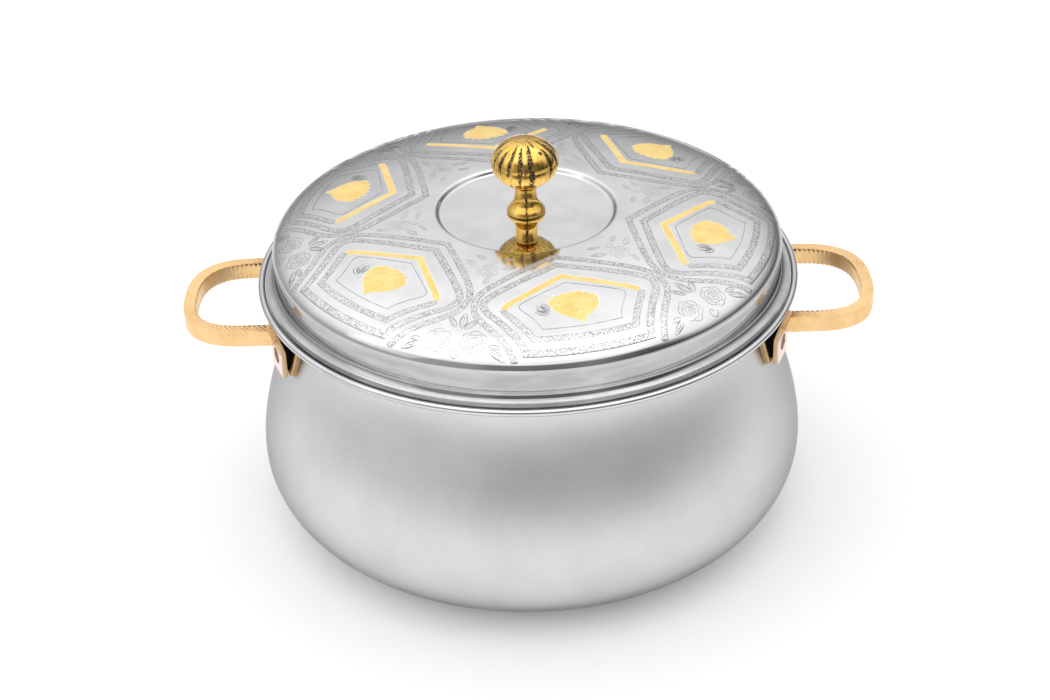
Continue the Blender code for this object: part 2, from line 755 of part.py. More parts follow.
def knob_nut_stack():
    return SEAT_GAP + WASHER_THICKNESS + SEAT_GAP + KNOB_NUT_THICKNESS


def ball_bottom():
    """Height of the flat under the ball above the recess floor."""
    share = math.sqrt(1 - (KNOB_SEAT_RADIUS / KNOB_BALL_RADIUS) ** 2)
    return KNOB_BALL_CENTRE - KNOB_BALL_HALF_HEIGHT * share


def make_knob_stem(knob):
    """Bell foot, neck and collar, bored for the stud. Heights are above the recess floor."""
    top = ball_bottom() - SEAT_GAP
    collar = top - KNOB_COLLAR_HEIGHT
    bore = STUD_RADIUS + SEAT_GAP
    fall = KNOB_FOOT_RADIUS - KNOB_NECK_RADIUS
    rise = collar - SEAT_GAP
    side = [(KNOB_FOOT_RADIUS - across * fall, SEAT_GAP + up * rise) for across, up in KNOB_FOOT_SHARES]
    outline = [
        (bore, SEAT_GAP),
        (KNOB_FOOT_RADIUS, SEAT_GAP),
        *side,
        (KNOB_COLLAR_RADIUS, collar + KNOB_COLLAR_HEIGHT / 3),
        (KNOB_COLLAR_RADIUS, top - KNOB_COLLAR_HEIGHT / 3),
        (KNOB_SEAT_RADIUS, top),
        (bore, top),
    ]
    turned("knob_stem", outline, "brass", knob, steps=SMALL_TURN_STEPS)


def make_knob_ball(knob):
    """Flattened ball with flutes from pole to pole, flat below and bored for the stud."""
    bm = bmesh.new()
    bmesh.ops.create_uvsphere(bm, u_segments=2 * KNOB_FLUTES, v_segments=KNOB_BALL_RINGS, radius=1)
    for corner in bm.verts:
        around = math.atan2(corner.co.y, corner.co.x)
        level = math.hypot(corner.co.x, corner.co.y)
        groove = KNOB_FLUTE_DEPTH * level * (0.5 + 0.5 * math.cos(KNOB_FLUTES * around))
        corner.co.x *= KNOB_BALL_RADIUS - groove
        corner.co.y *= KNOB_BALL_RADIUS - groove
        corner.co.z *= KNOB_BALL_HALF_HEIGHT
    ball = piece("knob_ball", bm, "brass", knob, place=(0.0, 0.0, KNOB_BALL_CENTRE))
    bottom = ball_bottom()
    bore = STUD_RADIUS + SEAT_GAP
    outline = [
        (0.0, bottom - CUT_OVERRUN),
        (KNOB_BALL_RADIUS, bottom - CUT_OVERRUN),
        (KNOB_BALL_RADIUS, bottom),
        (bore, bottom),
        (bore, bottom + STUD_BITE + SEAT_GAP),
        (0.0, bottom + STUD_BITE + SEAT_GAP),
    ]
    cutter = turned("ball_cutter", outline, "brass", knob, steps=SMALL_TURN_STEPS)
    combine(ball, hide(cutter), "DIFFERENCE")


def make_knob_fixing(knob):
    """Stud from the ball down through the stem and the lid, with a washer and a nut under the lid."""
    under_lid = -LID_WALL
    washer_top = under_lid - SEAT_GAP
    nut_top = washer_top - WASHER_THICKNESS - SEAT_GAP
    nut_low = nut_top - KNOB_NUT_THICKNESS
    stud_low, stud_high = nut_low - STUD_TAIL, ball_bottom() + STUD_BITE
    bore = STUD_RADIUS + SEAT_GAP
    stud = [(0.0, stud_low), (STUD_RADIUS, stud_low), (STUD_RADIUS, stud_high), (0.0, stud_high)]
    turned("knob_stud", stud, "zinc", knob, steps=SMALL_TURN_STEPS)
    washer = [
        (bore, washer_top - WASHER_THICKNESS),
        (WASHER_RADIUS, washer_top - WASHER_THICKNESS),
        (WASHER_RADIUS, washer_top),
        (bore, washer_top),
    ]
    turned("knob_washer", washer, "zinc", knob, steps=SMALL_TURN_STEPS)
    hex_nut("knob_nut", KNOB_NUT_CORNER_RADIUS, nut_low, nut_top, bore, knob)


def main():
    clear_scene()
    pot = empty("pot")
    lid = empty("lid", height=RIM_HEIGHT, parent=pot)
    knob = empty("knob", height=recess_floor_height(), parent=lid)
    screw_holes, nut_pockets = make_handles(pot)
    make_outer_shell(pot, screw_holes)
    make_inner_bowl(pot)
    make_base(pot)
    make_body_insulation(pot, nut_pockets)
    make_lid_shell(lid)
    make_lid_liner(lid)
    make_lid_insulation(lid)
    make_knob_stem(knob)
    make_knob_ball(knob)
    make_knob_fixing(knob)
    bpy.context.view_layer.update()


main()
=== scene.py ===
import math
from math import cos, hypot, pi, radians, sin

import bmesh
import bpy
import numpy as np
from mathutils import Matrix, Vector


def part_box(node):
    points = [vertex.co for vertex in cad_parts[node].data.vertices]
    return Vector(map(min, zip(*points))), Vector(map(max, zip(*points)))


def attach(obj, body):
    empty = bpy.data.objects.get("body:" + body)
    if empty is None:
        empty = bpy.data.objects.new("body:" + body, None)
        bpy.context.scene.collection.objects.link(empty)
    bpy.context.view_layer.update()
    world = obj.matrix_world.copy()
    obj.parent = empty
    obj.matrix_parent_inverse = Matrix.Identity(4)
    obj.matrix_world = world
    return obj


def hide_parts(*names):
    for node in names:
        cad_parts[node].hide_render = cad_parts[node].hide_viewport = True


mm = 0.001
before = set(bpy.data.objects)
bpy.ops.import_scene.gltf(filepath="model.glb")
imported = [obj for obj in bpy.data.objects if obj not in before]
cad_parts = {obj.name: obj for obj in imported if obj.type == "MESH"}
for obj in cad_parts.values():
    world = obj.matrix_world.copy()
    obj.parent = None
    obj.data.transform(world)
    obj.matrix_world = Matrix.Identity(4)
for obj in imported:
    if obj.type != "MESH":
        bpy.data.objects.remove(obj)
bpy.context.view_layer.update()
print("frame loaded:", len(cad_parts), "nodes")


# Shader building

class Socket:  # a node socket that takes part in sums
    def __init__(self, finish, socket):
        self.finish = finish
        self.socket = socket

    def sum(self, operation, *values):
        return self.finish.node("Math", {"operation": operation}, values)

    def __add__(self, other): return self.sum("ADD", self, other)
    def __radd__(self, other): return self.sum("ADD", other, self)
    def __sub__(self, other): return self.sum("SUBTRACT", self, other)
    def __rsub__(self, other): return self.sum("SUBTRACT", other, self)
    def __mul__(self, other): return self.sum("MULTIPLY", self, other)
    def __abs__(self): return self.sum("ABSOLUTE", self, 0.0)

    def fade(self, low, high, start=0.0, end=1.0):  # smooth step from one level to another
        settings = {"interpolation_type": "SMOOTHSTEP"}
        return self.finish.node("MapRange", settings, (self, low, high, start, end))


class Finish:  # one procedural material, or the world's shader
    def __init__(self, name, world=False):
        self.owner = bpy.data.worlds.new(name) if world else bpy.data.materials.new(name)
        self.owner.use_nodes = True
        self.tree = self.owner.node_tree
        self.tree.nodes.clear()

    def feed(self, socket, value):
        if isinstance(value, Socket):
            self.tree.links.new(value.socket, socket)
        elif isinstance(value, (tuple, list)) and len(value) == 3 and socket.type == "RGBA":
            socket.default_value = (*value, 1.0)
        else:
            socket.default_value = value

    def node(self, kind, settings=None, values=(), output=0):
        made = self.tree.nodes.new("ShaderNode" + kind)
        for key, value in (settings or {}).items():
            setattr(made, key, value)
        places = values.items() if isinstance(values, dict) else enumerate(values)
        for place, value in places:
            if value is not None:
                self.feed(made.inputs[place], value)
        return Socket(self, made.outputs[output])

    def mix(self, share, first, second):  # of two colours
        return self.node("Mix", {"data_type": "RGBA"}, {0: share, 6: first, 7: second}, output=2)

    def where(self):  # the point on the surface, in metres
        return self.node("TexCoord", output=3)

    def noise(self, size, detail=3.0, stretch=None, roughness=0.5, distortion=0.0):
        place = self.where()
        if stretch:
            place = self.node("Mapping", {"vector_type": "POINT"}, {"Vector": place, "Scale": stretch})
        values = {
            "Vector": place, "Scale": 1.0 / size, "Detail": detail,
            "Roughness": roughness, "Distortion": distortion,
        }
        return self.node("TexNoise", None, values)

    def bump(self, height, distance):
        return self.node("Bump", None, {"Strength": 1.0, "Distance": distance, "Height": height})

    def attribute(self, name):
        return self.node("Attribute", {"attribute_name": name}, output=2)

    def principled(self, **inputs):
        made = self.tree.nodes.new("ShaderNodeBsdfPrincipled")
        for key, value in inputs.items():
            self.feed(made.inputs[key.replace("_", " ")], value)
        self.surface(Socket(self, made.outputs[0]))
        return self.owner

    def surface(self, shader):
        end = self.tree.nodes.new("ShaderNodeOutputMaterial")
        self.feed(end.inputs["Surface"], shader)
        return self.owner


# Materials

def satinSteel():  # the pot's wall: brushed round, a little mottled and scratched
    f = Finish("satinSteel")
    cloud = f.noise(26 * mm, detail=4)
    fine = f.noise(1.1 * mm, detail=2, stretch=(1.0, 1.0, 3.0))
    brushed = f.noise(3.0 * mm, detail=3, stretch=(0.12, 0.12, 6.0))
    streak = f.noise(1.7 * mm, detail=1, stretch=(1.0, 1.0, 0.07), distortion=0.4)
    scratch = streak.fade(0.70, 0.78)
    colour = f.mix(cloud.fade(0.30, 0.70), (0.640, 0.642, 0.655), (0.705, 0.705, 0.712))
    colour = f.mix(fine.fade(0.42, 0.62) * 0.35, colour, (0.745, 0.745, 0.750))
    colour = f.mix(scratch * 0.12, colour, (0.42, 0.42, 0.42))
    rough = 0.27 + cloud * 0.06 + brushed * 0.05 + scratch * 0.04
    height = brushed * 0.6 + fine * 0.4 - scratch * 0.5
    return f.principled(
        Base_Color=colour, Metallic=1.0, Roughness=rough, Normal=f.bump(height, 0.02 * mm),
        Specular_Tint=(0.50, 0.50, 0.51),
    )


def polishedSteel(name, rough, tone, mirror=None, side=None):
    f = Finish(name)
    cloud = f.noise(18 * mm, detail=3)
    if mirror:  # radius inside which it is polished like a mirror
        across = f.node("VectorMath", {"operation": "MULTIPLY"}, (f.where(), (1.0, 1.0, 0.0)))
        radius = f.node("VectorMath", {"operation": "LENGTH"}, (across,), output=1)
        rough = radius.fade(mirror, mirror + 2 * mm, 0.3 * rough, rough)
    hair = f.noise(1.6 * mm, detail=2, stretch=(1.0, 0.06, 1.0), distortion=0.3)
    hairAcross = f.noise(1.6 * mm, detail=2, stretch=(0.06, 1.0, 1.0), distortion=0.3)
    lines = hair.fade(0.62, 0.72) + hairAcross.fade(0.66, 0.74)
    dull = (tone * 0.86, tone * 0.86, tone * 0.87)
    colour = f.mix(cloud.fade(0.25, 0.75), dull, (tone, tone, tone * 1.01))
    colour = f.mix(lines * 0.10, colour, dull)
    if side:  # height below which the lid's side is painted darker as shade, broken up with streaky noise
        height = f.node("SeparateXYZ", None, (f.where(),), output=2)
        marks = f.noise(9 * mm, detail=4, stretch=(0.5, 0.5, 2.4), distortion=0.5)
        # painted shade: the side below this height is darkened to stand in for its dark reflections
        dark = height.fade(side - 3 * mm, side + 3 * mm, 1.0, 0.0) * marks.fade(0.25, 0.75, 0.60, 1.0)
        colour = f.mix(dark, colour, tuple(0.62 * c for c in dull))
    return f.principled(
        Base_Color=colour, Metallic=1.0, Roughness=rough + cloud * 0.02 + lines * 0.02,
        Normal=f.bump(cloud * 0.5 + lines * 0.2, 0.012 * mm), Specular_Tint=(0.70, 0.70, 0.71),
    )


def engravedBand():  # bands filled with small worm-like cuts
    f = Finish("engravedBand")
    worm = f.noise(0.95 * mm, detail=0.5, distortion=0.6)
    wave = f.node("Math", {"operation": "SINE"}, (worm * 20.0,))
    cut = wave.fade(0.10, 0.75)
    patch = f.noise(9 * mm, detail=2).fade(0.36, 0.60)
    depth = cut * (patch * 0.25 + 0.75)
    colour = f.mix(depth, (0.76, 0.76, 0.77), (0.34, 0.34, 0.345))
    return f.principled(
        Base_Color=colour, Metallic=1.0, Roughness=0.24 + depth * 0.20,
        Normal=f.bump(0.0 - depth, 0.03 * mm), Specular_Tint=(0.50, 0.50, 0.50),
    )


def etchedLine(name, light, dark):  # single engraved lines, worn in places
    f = Finish(name)
    worn = f.noise(5 * mm, detail=2).fade(0.30, 0.62)
    colour = f.mix(worn, (light, light, light * 1.01), (dark, dark, dark * 1.02))
    return f.principled(
        Base_Color=colour, Metallic=1.0, Roughness=0.42, Specular_Tint=(0.50, 0.50, 0.50),
    )


def giltInlay():  # yellow gilding with fine veins
    f = Finish("giltInlay")
    grain = f.noise(0.7 * mm, detail=3)
    vein = abs(f.noise(3.2 * mm, detail=1.5, distortion=1.2) - 0.5)
    line = 1.0 - vein.fade(0.012, 0.05)
    patch = f.noise(9 * mm, detail=2).fade(0.35, 0.68)
    colour = f.mix(patch, (0.97, 0.75, 0.29), (0.94, 0.64, 0.21))
    colour = f.mix(line * 0.45, colour, (0.84, 0.55, 0.16))
    colour = f.mix(grain.fade(0.52, 0.66) * 0.5, colour, (0.99, 0.86, 0.48))
    return f.principled(
        Base_Color=colour, Metallic=0.6, Roughness=0.42 + grain * 0.12,
        Normal=f.bump(grain * 0.6 - line * 0.4, 0.05 * mm),
    )


def giltBar():  # satin gilding on the handles, dark where polish has collected in the cuts, with painted shade towards the feet, along the inner edge and on the plates' leaning part, and a painted pale reflection on the plates' outer face
    f = Finish("giltBar")
    cloud = f.noise(9 * mm, detail=4)
    grain = f.noise(0.8 * mm, detail=3)
    stain = f.noise(4.2 * mm, detail=5, roughness=0.62).fade(0.66, 0.76)
    polishAndShade, pale = f.attribute("polishAndShade"), f.attribute("pale")
    colour = f.mix(cloud.fade(0.32, 0.70), (0.90, 0.57, 0.25), (0.97, 0.67, 0.35))
    colour = f.mix(grain.fade(0.50, 0.66) * 0.35, colour, (1.0, 0.77, 0.48))
    # painted reflection: the foot plates' outer face is painted pale
    colour = f.mix(pale * 0.9, colour, (0.92, 0.79, 0.73))
    blot = f.noise(1.4 * mm, detail=4, roughness=0.65)
    # this attribute carries both the polish in the cuts and painted shade near the pot
    brown = (polishAndShade + (blot - 0.5) * 0.6 + stain * 0.3).fade(0.12, 0.70)
    dark = (polishAndShade + (blot - 0.5) * 0.5).fade(0.62, 0.80)
    colour = f.mix(brown * 0.75, colour, (0.30, 0.135, 0.065))
    colour = f.mix(dark, colour, (0.020, 0.012, 0.010))
    return f.principled(
        Base_Color=colour, Metallic=0.95 - dark * 0.3, Roughness=0.30 + grain * 0.14 + dark * 0.18,
        Normal=f.bump(grain * 0.7 + cloud * 0.3, 0.04 * mm),
    )


def knobBrass():  # polished brass; the ball's grooves and crown carry black patina, the ball's underside has painted shade, and the stem has a painted dark reflection down its front
    f = Finish("knobBrass")
    cloud = f.noise(5 * mm, detail=4)
    speck = f.noise(0.9 * mm, detail=4, roughness=0.7)
    patinaAndShade = f.attribute("patinaAndShade")
    ragged = f.noise(1.6 * mm, detail=5, roughness=0.7)
    edge = patinaAndShade + (speck - 0.5) * 1.1 + (ragged - 0.5) * 1.1
    fleck = f.noise(0.8 * mm, detail=2, stretch=(1.0, 1.0, 0.7)).fade(0.52, 0.60)
    black = edge.fade(0.46, 0.54) * (1.0 - fleck * 0.9)
    pit = f.noise(1.3 * mm, detail=3, roughness=0.7).fade(0.735, 0.77)
    dark = f.node("Math", {"operation": "MAXIMUM"}, (black, pit))
    colour = f.mix(cloud.fade(0.30, 0.72), (0.78, 0.47, 0.095), (0.90, 0.61, 0.17))
    colour = f.mix(patinaAndShade.fade(0.10, 0.60) * 0.5, colour, (0.42, 0.21, 0.05))
    colour = f.mix(dark, colour, (0.030, 0.018, 0.016))
    return f.principled(
        Base_Color=colour, Metallic=1.0 - dark * 0.6, Roughness=0.09 + cloud * 0.05 + dark * 0.35,
        Normal=f.bump(speck * 0.35 + cloud * 0.65 - dark * 0.8, 0.05 * mm),
    )


def plainMetal(name, colour, rough, size=4 * mm):  # hidden plated pieces
    f = Finish(name)
    cloud = f.noise(size, detail=3)
    shade = f.mix(cloud.fade(0.3, 0.7), tuple(0.82 * c for c in colour), colour)
    return f.principled(
        Base_Color=shade, Metallic=1.0, Roughness=rough + cloud * 0.12, Normal=f.bump(cloud, 0.03 * mm),
    )


def grainyBlack(name, size, dark, light, depth, **inputs):
    f = Finish(name)
    grain = f.noise(size, detail=2)
    colour = f.mix(grain, dark, light)
    return f.principled(Base_Color=colour, Roughness=0.6 + grain * 0.2, Normal=f.bump(grain, depth), **inputs)


def foam():
    f = Finish("foam")
    cell = f.noise(1.2 * mm, detail=3)
    colour = f.mix(cell.fade(0.35, 0.65), (0.66, 0.55, 0.30), (0.84, 0.76, 0.52))
    return f.principled(Base_Color=colour, Roughness=0.92, Normal=f.bump(cell, 0.3 * mm))


finishes = {
    "wall": satinSteel(),
    # the lid's side below 130.5 mm gets painted shade
    "lid": polishedSteel("lidSteel", rough=0.10, tone=0.80, mirror=38 * mm, side=130.5 * mm),
    "rim": polishedSteel("rimSteel", rough=0.12, tone=0.72),
    "bowl": polishedSteel("bowlSteel", rough=0.24, tone=0.66),
    "band": engravedBand(),
    "line": etchedLine("etchedLine", 0.50, 0.24),
    "faintLine": etchedLine("faintLine", 0.70, 0.50),
    "halo": polishedSteel("haloSteel", rough=0.30, tone=0.93),
    "inlay": giltInlay(),
    "bar": giltBar(),
    "brass": knobBrass(),
    "screw": plainMetal("agedBrass", (0.30, 0.17, 0.10), 0.42, 1.5 * mm),
    "zinc": plainMetal("zincPlate", (0.56, 0.57, 0.60), 0.38),
    "plastic": grainyBlack(
        "blackPlastic", 0.5 * mm, (0.002, 0.0016, 0.0015), (0.005, 0.004, 0.004), 0.04 * mm,
        Specular_IOR_Level=0.06,
    ),
    "rubber": grainyBlack("rubber", 0.7 * mm, (0.028, 0.028, 0.028), (0.055, 0.055, 0.055), 0.05 * mm),
    "foam": foam(),
}
print("finishes made:", len(finishes))


# Lines and meshes

def arcPoints(centre, across, up, start, end, steps):  # angles in degrees from +radius towards +height
    angles = np.radians(np.linspace(start, end, steps + 1))
    return [(centre[0] + across * cos(a), centre[1] + up * sin(a)) for a in angles]


def bezierPoints(start, pullStart, pullEnd, end, steps):
    controls = np.array([start, pullStart, pullEnd, end], float)
    t = np.linspace(0, 1, steps + 1)[:, None]
    weights = np.hstack([(1 - t) ** 3, 3 * t * (1 - t) ** 2, 3 * t * t * (1 - t), t ** 3])
    return [tuple(point) for point in weights @ controls]


def smoothCurve(points, step):  # even steps along a smooth curve through the points
    points = np.array(points, float)
    last = len(points) - 1
    fine = []
    for k in range(last):
        p0, p1, p2, p3 = (points[min(max(k + j, 0), last)] for j in (-1, 0, 1, 2))
        for t in np.linspace(0, 1, 24, endpoint=False):
            fine.append(0.5 * (
                2 * p1 + (p2 - p0) * t + (2 * p0 - 5 * p1 + 4 * p2 - p3) * t ** 2
                + (3 * p1 - p0 - 3 * p2 + p3) * t ** 3
            ))
    fine.append(points[-1])
    return evenSteps(fine, step)


def evenSteps(points, step, closed=False):
    points = np.array(points, float)
    lengths = np.concatenate(([0], np.cumsum(np.linalg.norm(np.diff(points, axis=0), axis=1))))
    count = max(2, int(round(lengths[-1] / step)) + 1)
    marks = np.linspace(0, lengths[-1], count)
    even = np.column_stack([np.interp(marks, lengths, points[:, k]) for k in range(points.shape[1])])
    return even[:-1] if closed else even


def sidesOf(path, closed=False):  # unit normals to the left of a plan path, longer at its corners
    path = np.array(path, float)
    if closed:
        before, after = path - np.roll(path, 1, axis=0), np.roll(path, -1, axis=0) - path
    else:
        steps = np.diff(path, axis=0)
        before, after = np.vstack([steps[:1], steps]), np.vstack([steps, steps[-1:]])
    before = before / np.linalg.norm(before, axis=1)[:, None]
    after = after / np.linalg.norm(after, axis=1)[:, None]
    left = np.column_stack([-(before + after)[:, 1], (before + after)[:, 0]])
    return left / np.maximum(1 + (before * after).sum(axis=1), 0.35)[:, None]


def offsetLine(line, distance):  # a turned line moved to the right of its direction of travel
    moved = np.array(line) - distance * sidesOf(line)
    moved[np.array(line)[:, 0] < 1e-9, 0] = 0.0
    return [tuple(point) for point in moved]


def walled(line, thickness):
    return list(line) + offsetLine(line, thickness)[::-1]


def addObject(name, data):
    made = bpy.data.objects.new(name, data)
    bpy.context.scene.collection.objects.link(made)
    return made


def makePiece(name, points, faces, finish, body, replaced=(), smooth=38, layers=None):
    mesh = bpy.data.meshes.new(name)
    mesh.from_pydata([tuple(p) for p in points], [], faces)
    for key, values in (layers or {}).items():
        mesh.attributes.new(key, "FLOAT", "POINT").data.foreach_set("value", values)
    bm = bmesh.new()
    bm.from_mesh(mesh)
    bmesh.ops.remove_doubles(bm, verts=bm.verts, dist=1e-7)
    bmesh.ops.recalc_face_normals(bm, faces=bm.faces)
    bm.to_mesh(mesh)
    bm.free()
    mesh.shade_smooth()
    mesh.set_sharp_from_angle(angle=radians(smooth))
    made = addObject(name, mesh)
    made.data.materials.append(finishes[finish])
    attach(made, body)
    if replaced:
        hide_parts(*replaced)
    return made


def gridFaces(rows, columns, closedRows=False, closedColumns=False, start=0):
    faces = []
    for r in range(rows if closedRows else rows - 1):
        for c in range(columns if closedColumns else columns - 1):
            nextRow, nextColumn = (r + 1) % rows, (c + 1) % columns
            faces.append((
                start + r * columns + c, start + nextRow * columns + c,
                start + nextRow * columns + nextColumn, start + r * columns + nextColumn,
            ))
    return faces


def turnedPiece(
    name, outline, finish, body, replaced=(), segments=288, base=0.0, smooth=38, layers=None,
):
    outline = np.array(outline)
    solid = outline[0][0] < 1e-9 and outline[-1][0] < 1e-9
    angles = 2 * pi * np.arange(segments) / segments
    points = [(r * cos(a), r * sin(a), z + base) for a in angles for r, z in outline]
    faces = gridFaces(segments, len(outline), closedRows=True, closedColumns=not solid)
    return makePiece(name, points, faces, finish, body, replaced, smooth, layers)


# Pot

potSizes = {
    "rollRadius": 1.5 * mm, "rollDrop": 0.4 * mm,
    "mouthRadius": 100 * mm, "wallRoom": 5.8 * mm, "neckFillet": 7 * mm, "lipClearance": 1 * mm,
    "bellySwell": 18.2 * mm, "bellyHeight": 33 * mm, "bottomRun": 33 * mm, "ringWidth": 11 * mm,
    "neckPull": (0.09, 0.25), "bellyPull": 0.34,
    "sheet": 0.8 * mm, "seat": 0.3 * mm,
    "floorHeight": 16 * mm, "floorInset": 22 * mm, "corner": 18 * mm, "draft": 8, "mouthFillet": 2.5 * mm,
    "discOverlap": 6 * mm, "stepInset": 10 * mm, "stepHeight": 2.9 * mm, "stepRun": 3 * mm,
    "holeRadius": 5.5 * mm,
}
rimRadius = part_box("inner_bowl")[1].x
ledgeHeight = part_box("inner_bowl")[1].z - potSizes["rollRadius"] + potSizes["rollDrop"]
ledgeEdge = rimRadius - 2 * potSizes["rollRadius"]


def shellLine():  # outside of the wall, from the lip under the ledge down to the ring on the table
    p = potSizes
    lip = ledgeHeight - p["sheet"] - p["seat"]
    neckHeight = lip - p["sheet"] - p["neckFillet"]
    neck = p["mouthRadius"] + p["wallRoom"]
    belly = neck + p["bellySwell"]
    down = neckHeight - p["bellyHeight"]
    fillet = arcPoints((neck + p["neckFillet"], neckHeight), p["neckFillet"], p["neckFillet"], 90, 180, 10)
    wall = bezierPoints(
        (neck, neckHeight),
        (neck + p["neckPull"][0] * p["bellySwell"], neckHeight - p["neckPull"][1] * down),
        (belly, p["bellyHeight"] + p["bellyPull"] * down),
        (belly, p["bellyHeight"]),
        36,
    )
    middle = (belly - p["bottomRun"], p["bellyHeight"])
    bottom = arcPoints(middle, p["bottomRun"], p["bellyHeight"], 0, -90, 24)
    ring = belly - p["bottomRun"] - p["ringWidth"]
    return [(ledgeEdge - p["lipClearance"], lip - p["sheet"]), *fillet, *wall[1:], *bottom[1:], (ring, 0.0)]


def makePot():
    p = potSizes
    shell = turnedPiece("outerWall", walled(shellLine(), p["sheet"]), "wall", "pot", ["outer_shell"])

    corner = arcPoints(
        (p["mouthRadius"] - p["floorInset"], p["floorHeight"] + p["corner"]), p["corner"], p["corner"],
        -90, -p["draft"], 12,
    )
    fillet = p["mouthFillet"]
    mouth = arcPoints((p["mouthRadius"] + fillet, ledgeHeight - fillet), fillet, fillet, 180, 90, 6)
    inside = [(0.0, p["floorHeight"]), *corner, *mouth, (ledgeEdge, ledgeHeight)]
    outside = offsetLine(inside, p["sheet"])
    middle = (rimRadius - p["rollRadius"], ledgeHeight - p["rollDrop"])
    top = 180 - math.degrees(math.asin(p["rollDrop"] / p["rollRadius"]))
    low = -180 + math.degrees(math.asin((p["sheet"] - p["rollDrop"]) / p["rollRadius"]))
    roll = arcPoints(middle, p["rollRadius"], p["rollRadius"], top, low, 20)
    outline = inside[:-1] + roll + outside[-2::-1]
    bowl = turnedPiece("bowlAndRim", outline, "rim", "pot", ["inner_bowl"])

    ring = p["mouthRadius"] + p["wallRoom"] + p["bellySwell"] - p["bottomRun"] - p["ringWidth"]
    height = p["sheet"] + p["seat"]
    step = ring - p["stepInset"]
    raised = height + p["stepHeight"]
    rise = bezierPoints(
        (step + p["stepRun"], height), (step + 0.5 * p["stepRun"], height),
        (step + 0.5 * p["stepRun"], raised), (step, raised), 10,
    )
    disc = [(ring + p["discOverlap"], height), *rise, (p["holeRadius"] + p["seat"], raised)]
    base = turnedPiece("baseDisc", walled(disc, p["sheet"]), "wall", "pot", ["base_disc"])


makePot()
print("pot made")


# Lid

lidSizes = {
    "sheet": 0.7 * mm, "seat": 0.3 * mm, "brimClearance": 0.3 * mm, "brimWidth": 4.7 * mm,
    "flare": 3.8 * mm, "skirtFlare": 0.7 * mm, "skirtHeight": 13.8 * mm, "domeRise": 15.4 * mm,
    "acrossPower": 3.45, "upPower": 2.36,
    "recessRadius": 40 * mm, "recessFoot": 37.4 * mm, "recessLip": 41.0 * mm, "recessWall": 39.1 * mm,
    "footPull": 1.1 * mm, "wallPull": (0.40 * mm, 0.66 * mm), "lipPull": (1.2 * mm, 0.02 * mm),
    "hole": 2.7 * mm, "drawnRadius": 111.0 * mm,
}
skirtRadius = ledgeEdge - lidSizes["brimClearance"] - lidSizes["brimWidth"]
domeRadius = skirtRadius + lidSizes["skirtFlare"]


def domeHeight(radius):  # top of the lid above the table
    across = np.minimum(np.abs(radius) / domeRadius, 1.0)
    up = (1 - across ** lidSizes["acrossPower"]) ** (1 / lidSizes["upPower"])
    return ledgeHeight + lidSizes["skirtHeight"] + lidSizes["domeRise"] * up


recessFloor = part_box("knob_stem")[0].z - lidSizes["seat"]


def lidLine():  # top of the lid from the knob's hole to the edge of the brim
    s = lidSizes
    foot, lip, lipTop = s["recessFoot"], s["recessLip"], float(domeHeight(s["recessLip"]))
    wallMiddle, wallPull = (s["recessWall"], 0.5 * (recessFloor + lipTop)), s["wallPull"]
    recess = [(s["hole"], recessFloor)]
    recess += bezierPoints(
        (foot, recessFloor), (foot + s["footPull"], recessFloor),
        (wallMiddle[0] - wallPull[0], wallMiddle[1] - wallPull[1]), wallMiddle, 8,
    )
    recess += bezierPoints(
        wallMiddle, (wallMiddle[0] + wallPull[0], wallMiddle[1] + wallPull[1]),
        (lip - s["lipPull"][0], lipTop + s["lipPull"][1]), (lip, lipTop), 8,
    )[1:]
    dome = []
    topShare = (lipTop - ledgeHeight - s["skirtHeight"]) / s["domeRise"]
    for angle in np.linspace(math.asin(topShare), 0, 60)[1:]:
        up = sin(angle)
        across = (1 - up ** s["upPower"]) ** (1 / s["acrossPower"])
        dome.append((domeRadius * across, ledgeHeight + s["skirtHeight"] + s["domeRise"] * up))
    brim = ledgeHeight + s["seat"] + s["sheet"]
    flare = arcPoints((skirtRadius + s["flare"], brim + s["flare"]), s["flare"], s["flare"], 180, 270, 12)
    return [*recess, *dome, *flare, (ledgeEdge - s["brimClearance"], brim)]


linerSizes = {"sheet": 0.6 * mm, "depth": 8.8 * mm, "taper": 2.2 * mm, "corner": 3 * mm}


def makeLid():
    shell = turnedPiece("lidShell", walled(lidLine(), lidSizes["sheet"]), "lid", "lid", ["lid_shell"])
    s, seat = linerSizes, lidSizes["seat"]
    flange = skirtRadius - lidSizes["sheet"] - seat
    fillet = potSizes["mouthFillet"]
    mouthRadius = potSizes["mouthRadius"]
    mouth = arcPoints((mouthRadius + fillet, ledgeHeight - fillet), fillet + seat, fillet + seat, 90, 180, 8)
    centre = (mouthRadius - seat - s["taper"] - s["corner"], ledgeHeight + s["corner"] - s["depth"])
    corner = arcPoints(centre, s["corner"], s["corner"], 0, -90, 8)
    line = [(flange, ledgeHeight + seat), *mouth, *corner, (0.0, ledgeHeight - s["depth"])]
    liner = turnedPiece("lidLiner", walled(line, s["sheet"]), "bowl", "lid", ["lid_liner"])


makeLid()
print("lid made")


# Engraving and gilding: thin plates that follow the dome

